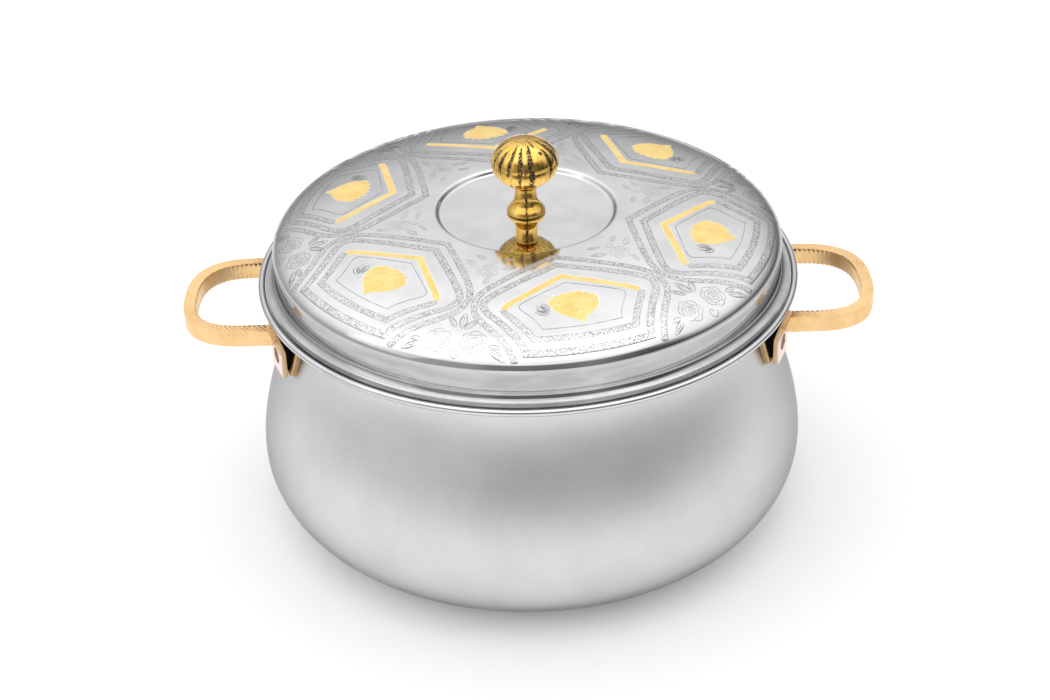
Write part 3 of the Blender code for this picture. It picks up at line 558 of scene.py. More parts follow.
class Inlay:  # gathers thin closed plates into one piece
    def __init__(self, lift):
        self.lift = lift
        self.points = []
        self.faces = []

    def sheet(self, grid, closed=False):  # rows of plan points, closed from the last row to the first
        grid = np.array(grid)
        rows, columns = grid.shape[:2]
        plan = grid.reshape(-1, 2)
        radii = np.hypot(plan[:, 0], plan[:, 1])
        plan = plan * (np.minimum(radii, lidSizes["drawnRadius"]) / radii)[:, None]
        heights = domeHeight(np.minimum(radii, lidSizes["drawnRadius"]))
        start = len(self.points)
        low = start + rows * columns
        self.points += [(x, y, z + self.lift) for (x, y), z in zip(plan, heights)]
        self.points += [(x, y, z - cartouche["sink"]) for (x, y), z in zip(plan, heights)]
        top = gridFaces(rows, columns, closed, start=start)
        under = [face[::-1] for face in gridFaces(rows, columns, closed, start=low)]
        edges = []
        for c in (0, columns - 1):
            for r in range(rows if closed else rows - 1):
                edges.append((r * columns + c, (r + 1) % rows * columns + c))
        if not closed:
            for r in (0, rows - 1):
                edges += [(r * columns + c, r * columns + c + 1) for c in range(columns - 1)]
        sides = [(start + a, start + b, low + b, low + a) for a, b in edges]
        self.faces += top + under + sides

    def ribbon(self, path, width, closed=False, columns=2, ends=None):
        path = np.array(path)
        sides = sidesOf(path, closed)
        widths = np.full(len(path), width)
        if ends:  # taper or flare at the ends: share of the width there, and over what length
            share, reach = ends
            along = np.concatenate(([0], np.cumsum(np.linalg.norm(np.diff(path, axis=0), axis=1))))
            nearest = np.minimum(along, along[-1] - along) / reach
            widths = width * (share + (1 - share) * np.clip(nearest, 0, 1) ** 0.6)
        across = np.linspace(-0.5, 0.5, columns)
        grid = path[:, None, :] + sides[:, None, :] * (widths[:, None] * across[None, :])[:, :, None]
        self.sheet(grid, closed)

    def disc(self, outline, centre, rings=6):  # a filled outline that its centre can see all round
        outline, centre = np.array(outline), np.array(centre)
        shares = np.linspace(0.02, 1, rings + 1)
        grid = centre + (outline[:, None, :] - centre) * shares[None, :, None]
        self.sheet(grid, closed=True)

    def finishAs(self, name, finish, slot):
        made = makePiece(name, self.points, self.faces, finish, "lid", smooth=60)


def turnPlan(points, degrees):
    c, s = cos(radians(degrees)), sin(radians(degrees))
    points = np.array(points, float)
    return np.column_stack([points[:, 0] * c - points[:, 1] * s, points[:, 0] * s + points[:, 1] * c])


# One sixth of the lid, in mm: (out from the middle, to the side), half of each line from its apex
cartouche = {
    "count": 6, "firstAngle": -76.9, "step": 1.0, "lineWidth": 0.24, "edgeWidth": 0.15,
    "arcStep": 1.2, "sink": 0.25 * mm,
    "fine": [
        (66.9, 0), (71.8, 10.6), (76.6, 20.4), (78.9, 22.3), (81.4, 21.7), (85.5, 19.6), (90.4, 17.5),
        (94.4, 16.6),
    ],
    "gilt": [(61.9, 0), (67.2, 9.6), (72.4, 19.2), (76.0, 25.8), (78.5, 28.9)],
    "inner": [(78.9, 29.1), (81.6, 28.5), (85.1, 26.7), (91.0, 24.0), (95.3, 22.3), (98.9, 21.2)],
    "middle": [
        (53.0, 0), (57.3, 9.2), (63.2, 21.6), (69.0, 32.4), (73.0, 35.9), (78.8, 35.6), (85.8, 32.2),
        (92.5, 29.4), (99.6, 26.8), (104.4, 26.0),
    ],
    "outer": [
        (46.3, 0), (50.4, 8.6), (56.6, 20.8), (62.6, 31.4), (66.6, 36.2), (70.6, 38.8), (75.5, 40.3),
        (79.7, 40.2), (85.6, 38.2), (92.5, 35.0), (99.2, 32.7), (106.8, 31.0),
    ],
    "widths": {"gilt": 2.9, "halo": 0.9, "inner": 2.7, "middle": 2.9, "outer": 2.6},
    "rose": [
        (94.3, 0.8), (91.8, 2.5), (90.4, 2.9), (89.6, 4.8), (87.2, 7.8), (83.6, 9.9), (79.6, 10.3),
        (76.9, 9.3), (77.6, 7.9), (74.9, 7.1), (75.9, 5.4), (73.7, 3.9), (75.0, 2.1), (73.4, 0.2),
        (75.1, -1.7), (73.9, -3.6), (75.8, -5.1), (74.9, -7.1), (77.4, -8.0), (76.9, -9.5),
        (79.8, -10.4), (83.6, -9.7), (87.2, -7.6), (90.0, -4.4), (91.2, -2.2),
    ],
    "roseMiddle": (83.0, 0.0),
}


def mirrored(half):  # from one outer corner through the apex to the other
    return [(a, -b) for a, b in half[:0:-1]] + half


def halfCurve(name):
    return [tuple(p) for p in smoothCurve(np.array(cartouche[name]) * mm, cartouche["step"] * mm)]


def rimArc(corner):  # along the rim from one mirrored corner to the other
    radius, angle = hypot(*corner), math.atan2(corner[1], corner[0])
    count = max(4, int(2 * angle * radius / (cartouche["arcStep"] * mm)))
    return [(radius * cos(t), radius * sin(t)) for t in np.linspace(angle, -angle, count)]


def closedRing(name):
    half = halfCurve(name)
    return np.array(mirrored(half) + rimArc(half[-1])[1:-1])


def edgeLines(lines, path, width, closed=False):  # a fine line along each side of a band
    for side in (-0.5, 0.5):
        edge = np.array(path) + sidesOf(path, closed) * width * side
        lines.ribbon(edge, cartouche["edgeWidth"] * mm, closed)


def engraveCartouche(angle, bands, lines, gilt, halo):
    widths = {key: value * mm for key, value in cartouche["widths"].items()}
    fine = turnPlan(closedRing("fine"), angle)
    lines.ribbon(fine, cartouche["lineWidth"] * mm, closed=True)

    chevron = turnPlan(mirrored(halfCurve("gilt")), angle)
    gilt.ribbon(chevron, widths["gilt"], columns=5, ends=(0.72, 1.6 * mm))
    halo.ribbon(chevron, widths["gilt"] + widths["halo"], columns=5, ends=(0.72, 1.6 * mm))

    half = halfCurve("inner")
    inner = turnPlan(half + rimArc(half[-1])[1:-1] + [(a, -b) for a, b in half[::-1]], angle)
    bands.ribbon(inner, widths["inner"], columns=5)
    edgeLines(lines, inner, widths["inner"])

    middle = turnPlan(closedRing("middle"), angle)
    bands.ribbon(middle, widths["middle"], closed=True, columns=5)
    edgeLines(lines, middle, widths["middle"], closed=True)

    outer = turnPlan(mirrored(halfCurve("outer")), angle)
    bands.ribbon(outer, widths["outer"], columns=5)
    edgeLines(lines, outer, widths["outer"])

    rose = turnPlan(np.array(cartouche["rose"]) * mm, angle)
    centre = turnPlan([np.array(cartouche["roseMiddle"]) * mm], angle)[0]
    outline = evenSteps(list(rose) + [rose[0]], 0.6 * mm, closed=True)
    gilt.disc(outline, centre)
    wider = centre + (outline - centre) * (1 + widths["halo"] / 2 / (9 * mm))
    halo.disc(wider, centre)


# Drawn leaves and roses, in the plane of a motif: lines as lists of points in mm
motifs = {
    "petalRings": ((2.3, 3), (3.7, 4), (5.3, 6)), "spiralTurns": 1.6, "spiralReach": 1.5,
    "scrollTurns": 1.25, "scrollReach": 2.0,
    "lineWidth": 0.20, "step": 0.5,
    "rimRoses": (((102.6, 7.9), 1.0, 20), ((103.6, -6.9), 1.0, -35)),
    "rimLeaves": (
        ((97.0, 1.2), (88.0, 0.2), 2.2), ((97.2, 2.4), (90.5, 6.6), 1.8), ((96.6, -1.2), (90.8, -5.6), 1.6),
        ((105.2, 14.6), (108.4, 22.4), 1.7), ((105.6, -13.4), (108.4, -21.0), 1.7),
        ((103.6, 14.2), (103.6, 20.4), 1.4), ((104.2, -13.2), (104.0, -19.0), 1.4),
    ),
    "innerRoses": (((57.0, 0.0), 0.85, 90),),
    "innerLeaves": (
        ((54.6, 5.2), (50.6, 11.8), 1.8), ((54.6, -5.2), (50.6, -11.8), 1.8), ((61.6, 2.2), (67.6, 1.2), 1.5),
        ((48.6, 3.2), (46.0, 8.6), 1.3), ((48.6, -3.2), (46.0, -8.6), 1.3),
    ),
    "rimScrolls": (((108.4, 1.4), 1.3, 0), ((106.4, -17.6), 1.2, 180)),
    "innerScrolls": (((50.4, 0.0), 1.1, 90),),
    "sideLeaves": (
        ((85.6, -11.4), (80.4, -15.8), 2.3), ((84.6, -11.2), (79.0, -13.0), 1.8),
        ((86.4, -11.8), (83.8, -16.8), 2.0),
    ),
}


def drawnLeaf(root, tip, belly):  # two edges and a few ribs
    root, tip = np.array(root, float), np.array(tip, float)
    along = tip - root
    side = np.array([-along[1], along[0]]) / np.linalg.norm(along)
    lines = []
    for bulge in (-belly, belly):
        control = [root + along * 0.25 + side * bulge, root + along * 0.70 + side * bulge * 0.9]
        lines.append(bezierPoints(root, control[0], control[1], tip, 10))
    for share in (-0.45, 0.0, 0.45):
        rib = side * belly * share
        start, end = root + along * 0.12 + rib * 0.6, root + along * 0.80 + rib * 0.5
        lines.append(bezierPoints(start, start + along * 0.2 + rib, end - along * 0.2 + rib * 0.9, end, 8))
    return lines


def coil(turns, reach, start, count):
    shares = np.linspace(start, 1, count)
    angles = 2 * pi * turns * shares
    return np.column_stack([reach * shares * np.cos(angles), reach * shares * np.sin(angles)])


def drawnRose(centre, size, turn):  # a coiled heart and rings of overlapping petals
    lines = [coil(motifs["spiralTurns"], motifs["spiralReach"], 0.15, 30)]
    for ring, (radius, petals) in enumerate(motifs["petalRings"]):
        for k in range(petals):
            middle = 2 * pi * (k + 0.35 * ring) / petals
            half = pi / petals * 1.12
            petal = []
            for t in np.linspace(-1, 1, 12):
                reach = radius * (0.80 + 0.22 * cos(t * pi / 2) ** 0.7)
                petal.append((reach * cos(middle + t * half), reach * sin(middle + t * half)))
            lines.append(petal)
    return [turnPlan(line, turn) * size + np.array(centre) for line in lines]


def drawnScroll(centre, size, turn):
    line = coil(motifs["scrollTurns"], motifs["scrollReach"], 0.1, 24)
    return [turnPlan(line, turn) * size + np.array(centre)]


def drawMotifs(lines, angle, roses=(), leaves=(), scrolls=()):
    drawn = []
    for centre, size, turn in roses:
        drawn += drawnRose(centre, size, turn)
    for root, tip, belly in leaves:
        drawn += drawnLeaf(root, tip, belly)
    for centre, size, turn in scrolls:
        drawn += drawnScroll(centre, size, turn)
    for line in drawn:
        path = evenSteps(turnPlan(np.array(line) * mm, angle), motifs["step"] * mm)
        lines.ribbon(path, motifs["lineWidth"] * mm, ends=(0.35, 1.0 * mm))


def engraveMotifs(angle, lines, faint):  # between this cartouche and the next one, and beside its rose
    between = angle + 180 / cartouche["count"]
    drawMotifs(lines, between, motifs["rimRoses"], motifs["rimLeaves"], motifs["rimScrolls"])
    drawMotifs(lines, angle, leaves=motifs["sideLeaves"])
    drawMotifs(faint, between, motifs["innerRoses"], motifs["innerLeaves"], motifs["innerScrolls"])


def makeEngraving():
    bands, gilt = Inlay(0.030 * mm), Inlay(0.060 * mm)
    lines, drawing, faint = Inlay(0.045 * mm), Inlay(0.036 * mm), Inlay(0.036 * mm)
    halo = Inlay(0.040 * mm)
    for k in range(cartouche["count"]):
        angle = cartouche["firstAngle"] + 360 / cartouche["count"] * k
        engraveCartouche(angle, bands, lines, gilt, halo)
        engraveMotifs(angle, drawing, faint)
    bands.finishAs("engravedBands", "band", "polished_steel")
    lines.finishAs("engravedLines", "line", "polished_steel")
    drawing.finishAs("engravedFlowers", "line", "polished_steel")
    faint.finishAs("faintFlowers", "faintLine", "polished_steel")
    halo.finishAs("inlayEdges", "halo", "polished_steel")
    gilt.finishAs("giltInlays", "inlay", "gilt_metal")


makeEngraving()
print("lid engraved")


# Knob

knobSizes = {
    "ballRadius": 14.7 * mm, "ballHalf": 11.3 * mm, "ballCentre": 24.2 * mm, "seatRadius": 4.2 * mm,
    "flutes": 18, "turn": 1.2, "grooveDepth": 0.55 * mm, "grooveWidth": 0.17, "bore": 2.7 * mm,
    "around": 432, "rings": 140, "stemAround": 180, "heightPerDegree": 0.23, "seed": 5,
    # crown: patina on the top; under: painted shade on the ball's underside, from -22 to -60 degrees, at most
    # this strong
    "crown": (56, 74, 0.62), "under": (-22, -60, 0.36),
    "stain": (271.5, 0.75, 0.58),  # a painted dark reflection of the camera down the front of the stem: angle, half width in mm and strength
    "worn": {15: 0.15},  # flutes rubbed shallow
    # flute number: lowest and highest degree of its dark streak, and its width in mm
    "streaks": {
        10: (-6, 46, 1.3), 11: (-8, 50, 1.7), 12: (-4, 67, 1.6), 13: (-26, 63, 1.9), 14: (-40, 67, 2.6),
        15: (58, 80, 0.9), 16: (-22, 52, 2.1), 17: (0, 73, 2.3),
    },
    "spots": ((271.5, 8, 0.75, 1.7), (309.0, 44, 0.8, 1.0), (296.0, 12, 0.3, 0.4)),  # degrees and mm
}
stemProfile = [  # radius and height above the recess floor, in mm
    (8.10, 0.30), (8.46, 0.55), (8.45, 1.00), (8.22, 1.70), (7.66, 2.60), (6.70, 3.75), (5.74, 5.05),
    (5.12, 6.75), (4.84, 8.60), (4.77, 10.20), (4.84, 11.40), (4.92, 11.88), (4.86, 12.02), (5.08, 12.14),
    (5.22, 12.44), (5.06, 12.76), (4.50, 12.96),
]


halving = 0.693  # makes exp(-halving * x * x) a half at x = 1


def ballStreaks():  # for each flute the lowest and highest degree of its streak and its width
    random = np.random.default_rng(knobSizes["seed"])
    streaks = {}
    for k in range(knobSizes["flutes"]):
        guess = (random.uniform(-34, -4), random.uniform(44, 72), random.uniform(1.1, 2.4))
        streaks[k] = knobSizes["streaks"].get(k, guess)
    return streaks


def shareOf(value, start, end):
    return min(max((value - start) / (end - start), 0.0), 1.0)


def patinaAndShadeAt(around, level, streak, aside):  # aside: mm to the middle of the flute
    low, high, width = streak
    degrees = math.degrees(level)
    lens = max(0.0, sin(pi * shareOf(degrees, low, high))) ** 0.55
    value = math.exp(-halving * (aside / (0.5 * width * lens)) ** 2) if lens > 0.02 else 0.0
    for angle, height, wide, tall in knobSizes["spots"]:
        gap = (math.degrees(around) - angle + 180) % 360 - 180
        off = radians(gap) * cos(level) * knobSizes["ballRadius"] / mm
        up = (degrees - height) * knobSizes["heightPerDegree"]
        value = max(value, math.exp(-halving * ((off / wide) ** 2 + (up / tall) ** 2)))
    start, end, most = knobSizes["crown"]
    crown = most * shareOf(degrees, start, end)
    rays = 0.55 + 0.45 * cos(1.5 * knobSizes["flutes"] * around + 3 * sin(6 * level))
    # painted shade: the ball's underside darkens towards the seat
    start, end, least = knobSizes["under"]
    return max(value, crown * rays, least * shareOf(degrees, start, end))


def makeKnob():
    s = knobSizes
    top = s["ballCentre"] - s["ballHalf"] * math.sqrt(1 - (s["seatRadius"] / s["ballRadius"]) ** 2)
    fine = smoothCurve([(r * mm, z * mm) for r, z in stemProfile], 0.12 * mm)
    upper = top - lidSizes["seat"]
    outline = [(s["bore"], 0.3 * mm), *[tuple(p) for p in fine], (s["seatRadius"], upper), (s["bore"], upper)]
    count = s["stemAround"]
    # painted reflection: a dark line down the stem's front, facing the camera
    angle, half, strength = s["stain"]
    stain = []
    for k in range(count):
        gap = radians((360 * k / count - angle + 180) % 360 - 180)
        stain += [strength * math.exp(-halving * (gap * r / mm / half) ** 2) for r, z in outline]
    stem = turnedPiece(
        "knobStem", outline, "brass", "lid", ["knob_stem"], count, recessFloor, layers={"patinaAndShade": stain},
    )

    streaks = ballStreaks()
    points, patinaAndShade = [], []
    for ring in range(s["rings"] + 1):
        level = pi * ring / s["rings"] - pi / 2
        for k in range(s["around"]):
            around = 2 * pi * k / s["around"]
            place = (around - radians(s["turn"])) * s["flutes"] / (2 * pi)
            number = int(round(place)) % s["flutes"]
            aside = place - round(place)
            cut = math.exp(-(aside / s["grooveWidth"]) ** 2) * cos(level) ** 0.5
            cut *= s["worn"].get(number, 1.0)
            reach = s["ballRadius"] - s["grooveDepth"] * cut
            points.append((
                reach * cos(level) * cos(around),
                reach * cos(level) * sin(around),
                s["ballHalf"] * sin(level) + s["ballCentre"] + recessFloor,
            ))
            pitch = 2 * pi * s["ballRadius"] * cos(level) / s["flutes"] / mm
            wander = 0.25 * sin(5 * level + 1.7 * number)
            patinaAndShade.append(patinaAndShadeAt(around, level, streaks[number], aside * pitch + wander))
    faces = gridFaces(s["rings"] + 1, s["around"], closedColumns=True)
    ball = makePiece("knobBall", points, faces, "brass", "lid", ["knob_ball"], 60, {"patinaAndShade": patinaAndShade})


makeKnob()
print("knob made")


# Handles: local axes run out from the pot (x), to the side (y) and up (z)

handleSizes = {
    "leg": 7.8 * mm, "arch": 30.5 * mm, "halfWidth": 32.7 * mm, "power": 2.7,
    "barWidth": 5.6 * mm, "barHeight": 7.8 * mm, "topDrop": 11.4 * mm,
    "step": 0.30 * mm, "acrossSteps": 10, "edgeRound": 0.22 * mm,
    "hatchPitch": 2.2 * mm, "hatchDepth": 0.42 * mm, "hatchSlant": 0.9, "scallop": 0.42 * mm,
    "hatchEnd": (1.15, 0.45), "wobble": (0.55, 1.0), "wobbleRows": 8, "footShadeReach": 30 * mm,
    "plateLength": 12.0 * mm, "plateLean": 2.3 * mm, "plateThickness": 2.4 * mm, "plateWidth": 14.8 * mm,
    "plateOffset": 4.5 * mm, "plateTwist": radians(5.5), "plateBevel": 0.35 * mm,
    "headHole": 3.7 * mm, "headDepth": 1.4 * mm, "shankHole": 2.3 * mm, "screwDrop": 3.8 * mm,
    "screwHead": 3.4 * mm, "screwShank": 2.0 * mm, "screwDepth": 0.3 * mm, "headHeight": 1.1 * mm,
    "seed": 11,
}
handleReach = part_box("handle_right")[1].x
barTop = ledgeHeight - handleSizes["topDrop"]
barLow = barTop - handleSizes["barHeight"]
plateFace = handleReach - handleSizes["arch"] - handleSizes["leg"]
screwHeight = barLow - handleSizes["screwDrop"]
footAngle = math.asin(
    (handleSizes["halfWidth"] - handleSizes["barWidth"] / 2 + handleSizes["plateOffset"])
    / (plateFace + handleSizes["plateLean"] / 2)
)


def barPath():  # plan of the bar's middle, from the back foot round to the front foot
    s = handleSizes
    inset = s["barWidth"] / 2
    start, across, side = plateFace + s["leg"], s["arch"] - inset, s["halfWidth"] - inset
    points = []
    for angle in np.radians(np.linspace(90, -90, 241)):
        x = start + across * abs(cos(angle)) ** (2 / s["power"])
        y = math.copysign(side * abs(sin(angle)) ** (2 / s["power"]), angle)
        points.append((x, y))
    facing = footAngle + s["plateTwist"]
    middle = plateFace * cos(s["plateTwist"]) + 0.3 * s["plateLean"] - 0.5 * s["plateThickness"]
    end = (middle - side * sin(facing)) / cos(facing)
    return evenSteps([(end, side), *points, (end, -side)], s["step"])


def hatch(along, across):  # 0 on the crests, 1 in the cuts
    s = handleSizes
    phase = (along + s["hatchSlant"] * across) / s["hatchPitch"]
    return (0.5 + 0.5 * cos(2 * pi * phase)) ** 2.2


def barSection():  # round the bar: share across, share up, and which face
    wide = np.linspace(-1, 1, handleSizes["acrossSteps"] + 1)
    high = np.linspace(-1, 1, 7)[1:-1]
    top, right = [(t, 1.0) for t in wide], [(1.0, -t) for t in high]
    return top + right + [(-t, -1.0) for t in wide] + [(-1.0, t) for t in high]


def makeBar():
    s = handleSizes
    path = barPath()
    sides = sidesOf(path)
    section = barSection()
    random = np.random.default_rng(s["seed"])
    length = s["step"] * (len(path) - 1)
    knots = np.arange(0, len(path) + s["wobbleRows"], s["wobbleRows"])
    wobble = np.interp(np.arange(len(path)), knots, random.uniform(*s["wobble"], len(knots)))
    hatchEnd, hatchFade = s["hatchEnd"]
    points, polishAndShade = [], []
    for row, (middle, side) in enumerate(zip(path, sides)):
        along = row * s["step"]
        nearFoot = min(along, length - along)
        for across, up in section:
            y = across * s["barWidth"] / 2
            z = up * s["barHeight"] / 2
            cut = hatch(along, y) * wobble[row] * min(1.0, (hatchEnd - across) / hatchFade)
            face = abs(up) == 1.0
            corner = face and abs(across) == 1.0
            if face:
                drop = s["hatchDepth"] * cut
                if corner:
                    drop = 0.6 * drop + 0.6 * s["edgeRound"]
                z -= math.copysign(drop, up)
            if abs(across) == 1.0:
                edge = max(0.0, abs(up) - 0.45) / 0.55
                bite = s["scallop"] * cut * edge ** 2 if across < 0 else 0.0
                y -= math.copysign(bite + (s["edgeRound"] * 0.5 if corner else 0.0), across)
            points.append((middle[0] + side[0] * y, middle[1] + side[1] * y, (barTop + barLow) / 2 + z))
            # painted shade: darker towards the feet where the bar meets the pot and along the inner edge
            # facing it; the cuts darken with collected polish
            near = max(0.0, 1 - nearFoot / s["footShadeReach"])
            inner = max(0.0, -across - 0.45) / 0.55
            stain = 0.14 * cut + near ** 0.7 * (0.24 + 0.44 * cut + 0.50 * inner + 0.50 * inner * cut)
            polishAndShade.append(stain if up == 1.0 else 0.10 * cut + 0.25 * near ** 6)
    rows, columns = len(path), len(section)
    faces = gridFaces(rows, columns, closedColumns=True)
    faces.append(tuple(range(columns)))
    faces.append(tuple((rows - 1) * columns + c for c in reversed(range(columns))))
    return points, faces, polishAndShade


def footMesh(way):  # a foot plate with its screw hole, turned about the pot's middle
    s = handleSizes
    t = s["plateThickness"]
    back = [
        (plateFace + s["plateLean"], barTop), (plateFace, barLow), (plateFace, barLow - s["plateLength"]),
    ]
    front = offsetLine(back, t)[::-1]
    bm = bmesh.new()
    face = bm.faces.new([bm.verts.new((x, -s["plateWidth"] / 2, z)) for x, z in back + front])
    grown = bmesh.ops.extrude_face_region(bm, geom=[face])["geom"]
    moved = [g for g in grown if isinstance(g, bmesh.types.BMVert)]
    bmesh.ops.translate(bm, verts=moved, vec=(0, s["plateWidth"], 0))
    bmesh.ops.recalc_face_normals(bm, faces=bm.faces)
    bmesh.ops.bevel(
        bm, geom=list(bm.edges), offset=s["plateBevel"], segments=3, affect="EDGES", clamp_overlap=True,
    )
    mesh = bpy.data.meshes.new("foot")
    bm.to_mesh(mesh)
    bm.free()
    plate = addObject("foot", mesh)
    cutters = []
    twist = Matrix.Rotation(way * s["plateTwist"], 4, "Z")
    mesh.transform(Matrix.Translation((plateFace, 0, 0)) @ twist @ Matrix.Translation((-plateFace, 0, 0)))
    lying = Matrix.Rotation(pi / 2, 4, "Y")
    for radius, low in ((s["shankHole"], plateFace - 3 * t), (s["headHole"], plateFace - s["headDepth"])):
        hole = bmesh.new()
        bmesh.ops.create_cone(
            hole, cap_ends=True, segments=64, radius1=radius, radius2=radius, depth=plateFace + t - low,
            matrix=Matrix.Translation(((plateFace + t + low) / 2, 0, screwHeight)) @ lying,
        )
        cutMesh = bpy.data.meshes.new("hole")
        hole.to_mesh(cutMesh)
        hole.free()
        cutters.append(addObject("hole", cutMesh))
    for cutter in cutters:
        step = plate.modifiers.new("hole", "BOOLEAN")
        step.operation, step.solver, step.object = "DIFFERENCE", "EXACT", cutter
    bpy.context.view_layer.update()
    done = bpy.data.meshes.new_from_object(plate.evaluated_get(bpy.context.evaluated_depsgraph_get()))
    for thing in (plate, *cutters):
        bpy.data.objects.remove(thing, do_unlink=True)
    done.transform(Matrix.Rotation(way * footAngle, 4, "Z"))
    points = [tuple(v.co) for v in done.vertices]
    faces = [tuple(p.vertices) for p in done.polygons]
    return points, faces


def footShadeAndSheen(point, way):  # painted shade in brown on the leaning part, and a painted pale reflection on the outer face under it
    s = handleSizes
    facing = way * (footAngle + s["plateTwist"])
    depth = point[0] * cos(facing) + point[1] * sin(facing) - plateFace * cos(s["plateTwist"])
    outer = depth > -0.5 * s["plateThickness"]
    leaning = point[2] > barLow + 0.2 * mm
    # painted shade on the leaning part, painted pale reflection on the outer face
    return (0.40 if leaning and outer else 0.0, 1.0 if outer and not leaning else 0.0)


def makeHandle(name, facing, node):
    points, faces, polishAndShade = makeBar()
    pale = [0.0] * len(points)
    for way in (1, -1):
        footPoints, footFaces = footMesh(way)
        start = len(points)
        points += footPoints
        faces += [tuple(start + v for v in face) for face in footFaces]
        footShading = [footShadeAndSheen(point, way) for point in footPoints]
        polishAndShade += [dark for dark, light in footShading]
        pale += [light for dark, light in footShading]
    turn = Matrix.Rotation(facing, 3, "Z")
    points = [turn @ Vector(point) for point in points]
    made = makePiece(name, points, faces, "bar", "pot", [node], 40, {"polishAndShade": polishAndShade, "pale": pale})


def makeScrews():
    s = handleSizes
    seat = plateFace - s["screwDepth"] - s["headHeight"]
    dome = arcPoints((0.0, seat + 0.35 * s["headHeight"]), s["screwHead"], 0.65 * s["headHeight"], 0, 90, 8)
    for side, facing, front in (("right", 0.0, -1), ("left", pi, 1)):
        for end, way in (("front", front), ("back", -front)):
            node = f"handle_screw_{side}_{end}"
            tail = min(hypot(corner.x, corner.y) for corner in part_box(node))
            outline = [(0.0, tail), (s["screwShank"], tail), (s["screwShank"], seat), (s["screwHead"], seat)]
            name = f"handleScrew{side.title()}{end.title()}"
            screw = turnedPiece(name, outline + dome, "screw", "pot", [node], 48)
            lay = Matrix.Rotation(facing + way * footAngle, 4, "Z") @ Matrix.Translation(
                (0, 0, screwHeight)) @ Matrix.Rotation(pi / 2, 4, "Y")
            screw.data.transform(lay)


makeHandle("handleRight", 0.0, "handle_right")
makeHandle("handleLeft", pi, "handle_left")
makeScrews()
print("handles made")


# Pieces kept as the frame has them

def dressFrame():
    wanted = {
        "backing_plate": "bar", "spacer": "plastic", "handle_nut": "zinc", "knob_stud": "zinc",
        "knob_washer": "zinc", "knob_nut": "zinc", "fill_plug": "rubber", "insulation": "foam",
    }
    for name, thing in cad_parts.items():
        for word, finish in wanted.items():
            if word in name:
                thing.data.materials.clear()
                thing.data.materials.append(finishes[finish])


dressFrame()


# Floor, light and camera

studio = {
    "floorSize": 6.0, "floorTone": 0.88, "floorGlow": 0.14, "sideEdge": (0.42, 0.70), "sideTone": 0.55,
    "back": 0.38, "left": 0.14, "right": 0.30, "overhead": 1.25, "roomDark": 0.22,
}
view = {
    "place": (0.0, -0.7644, 0.5510), "pitch": -32.20, "turn": 0.166, "roll": -1.6055,
    "lens": 67.4, "sensor": 36.0,
}


def seenRays(f):  # 1 for what the camera sees, straight, mirrored or through something
    names = ("Is Camera Ray", "Is Glossy Ray", "Is Transmission Ray")
    rays = [f.node("LightPath", output=name) for name in names]
    either = f.node("Math", {"operation": "MAXIMUM"}, rays[:2])
    return f.node("Math", {"operation": "MAXIMUM"}, (either, rays[2]))


def makeFloor():
    f = Finish("floor")
    x = f.node("SeparateXYZ", None, (f.where(),), output=0)
    camera = f.node("LightPath")
    tone = abs(x).fade(*studio["sideEdge"], 1.0, studio["sideTone"]) * (1.0 - camera) + camera
    pale = f.mix(tone, (0, 0, 0), (studio["floorTone"],) * 3)
    lit = f.node("BsdfDiffuse", None, {"Color": pale})
    glow = f.node("Emission", None, {"Color": f.mix(tone, (0, 0, 0), (studio["floorGlow"],) * 3)})
    seen = f.node("AddShader", None, (lit, glow))
    f.surface(f.node("MixShader", None, (seenRays(f), lit, seen)))
    mesh = bpy.data.meshes.new("floor")
    half = studio["floorSize"] / 2
    corners = [(-half, -half, 0), (half, -half, 0), (half, half, 0), (-half, half, 0)]
    mesh.from_pydata(corners, [], [(0, 1, 2, 3)])
    floor = addObject("floor", mesh)
    floor.location.z = -0.02 * mm
    floor.data.materials.append(f.owner)


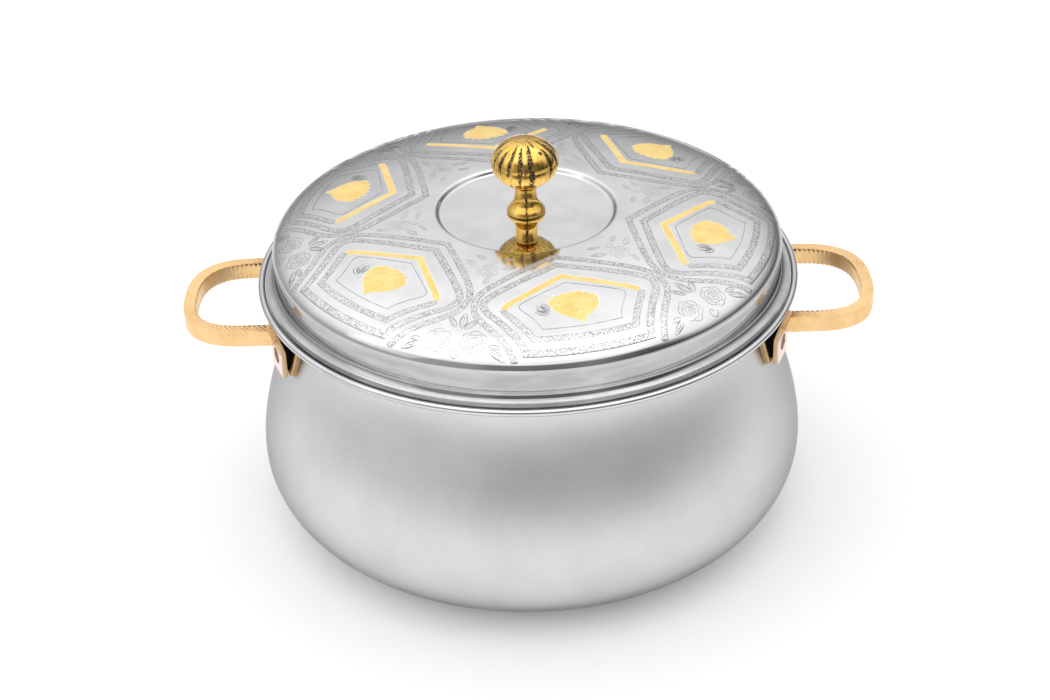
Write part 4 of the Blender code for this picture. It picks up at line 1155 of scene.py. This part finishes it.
def makeWorld():  # bright above, grey round the horizon, dark behind the camera under a window
    f = Finish("studioRoom", world=True)
    direction = f.node("TexCoord", output=0)
    x, y, z = (f.node("SeparateXYZ", None, (direction,), output=k) for k in range(3))
    front = (0.0 - y).fade(0.10, 0.55)
    high = z.fade(-0.05, 0.80) * (1.0 - front) + z.fade(0.56, 0.72) * front
    left = (0.0 - x).fade(0.25, 0.95)
    right = x.fade(0.10, 0.90)
    low = studio["back"] + left * studio["left"] - right * studio["right"]
    sky = low * (1.0 - high) + high * studio["overhead"]
    room = front * abs(x - 0.03).fade(0.24, 0.42, 1.0, 0.0) * z.fade(0.60, 0.70, 1.0, 0.0)
    level = sky * (1.0 - room) + room * studio["roomDark"]
    camera = f.node("LightPath")
    level = level * (1.0 - camera) + camera
    grey = f.node("CombineColor", None, (level, level, level))
    back = f.node("Background", None, {"Color": grey, "Strength": 1.0})
    end = f.tree.nodes.new("ShaderNodeOutputWorld")
    f.feed(end.inputs["Surface"], back)
    bpy.context.scene.world = f.owner


def makeCamera():
    data = bpy.data.cameras.new("camera")
    data.lens = view["lens"]
    data.sensor_fit = "HORIZONTAL"
    data.sensor_width = view["sensor"]
    data.clip_start = 0.01
    camera = addObject("camera", data)
    aim = Matrix.Rotation(radians(view["turn"]), 4, "Z")
    aim = aim @ Matrix.Rotation(radians(90 + view["pitch"]), 4, "X")
    aim = aim @ Matrix.Rotation(radians(view["roll"]), 4, "Z")
    camera.matrix_world = Matrix.Translation(view["place"]) @ aim
    bpy.context.scene.camera = camera


def makeLamps():
    for name, place, size, power, target in (
        ("overheadSoftbox", (0.0, -0.10, 1.40), (1.8, 1.3), 3.5, (0, 0, 0.1)),
        ("leftSoftbox", (-1.1, -0.55, 0.75), (0.8, 0.9), 0.8, (0, 0, 0.08)),
    ):
        data = bpy.data.lights.new(name, "AREA")
        data.shape = "RECTANGLE"
        data.size, data.size_y = size
        data.energy = power
        lamp = addObject(name, data)
        lamp.location = place
        lamp.rotation_euler = (Vector(target) - Vector(place)).to_track_quat("-Z", "Y").to_euler()
        lamp.visible_camera = False


makeFloor()
makeWorld()
makeCamera()
makeLamps()
bpy.context.scene.view_settings.view_transform = "Standard"
print("stage set")
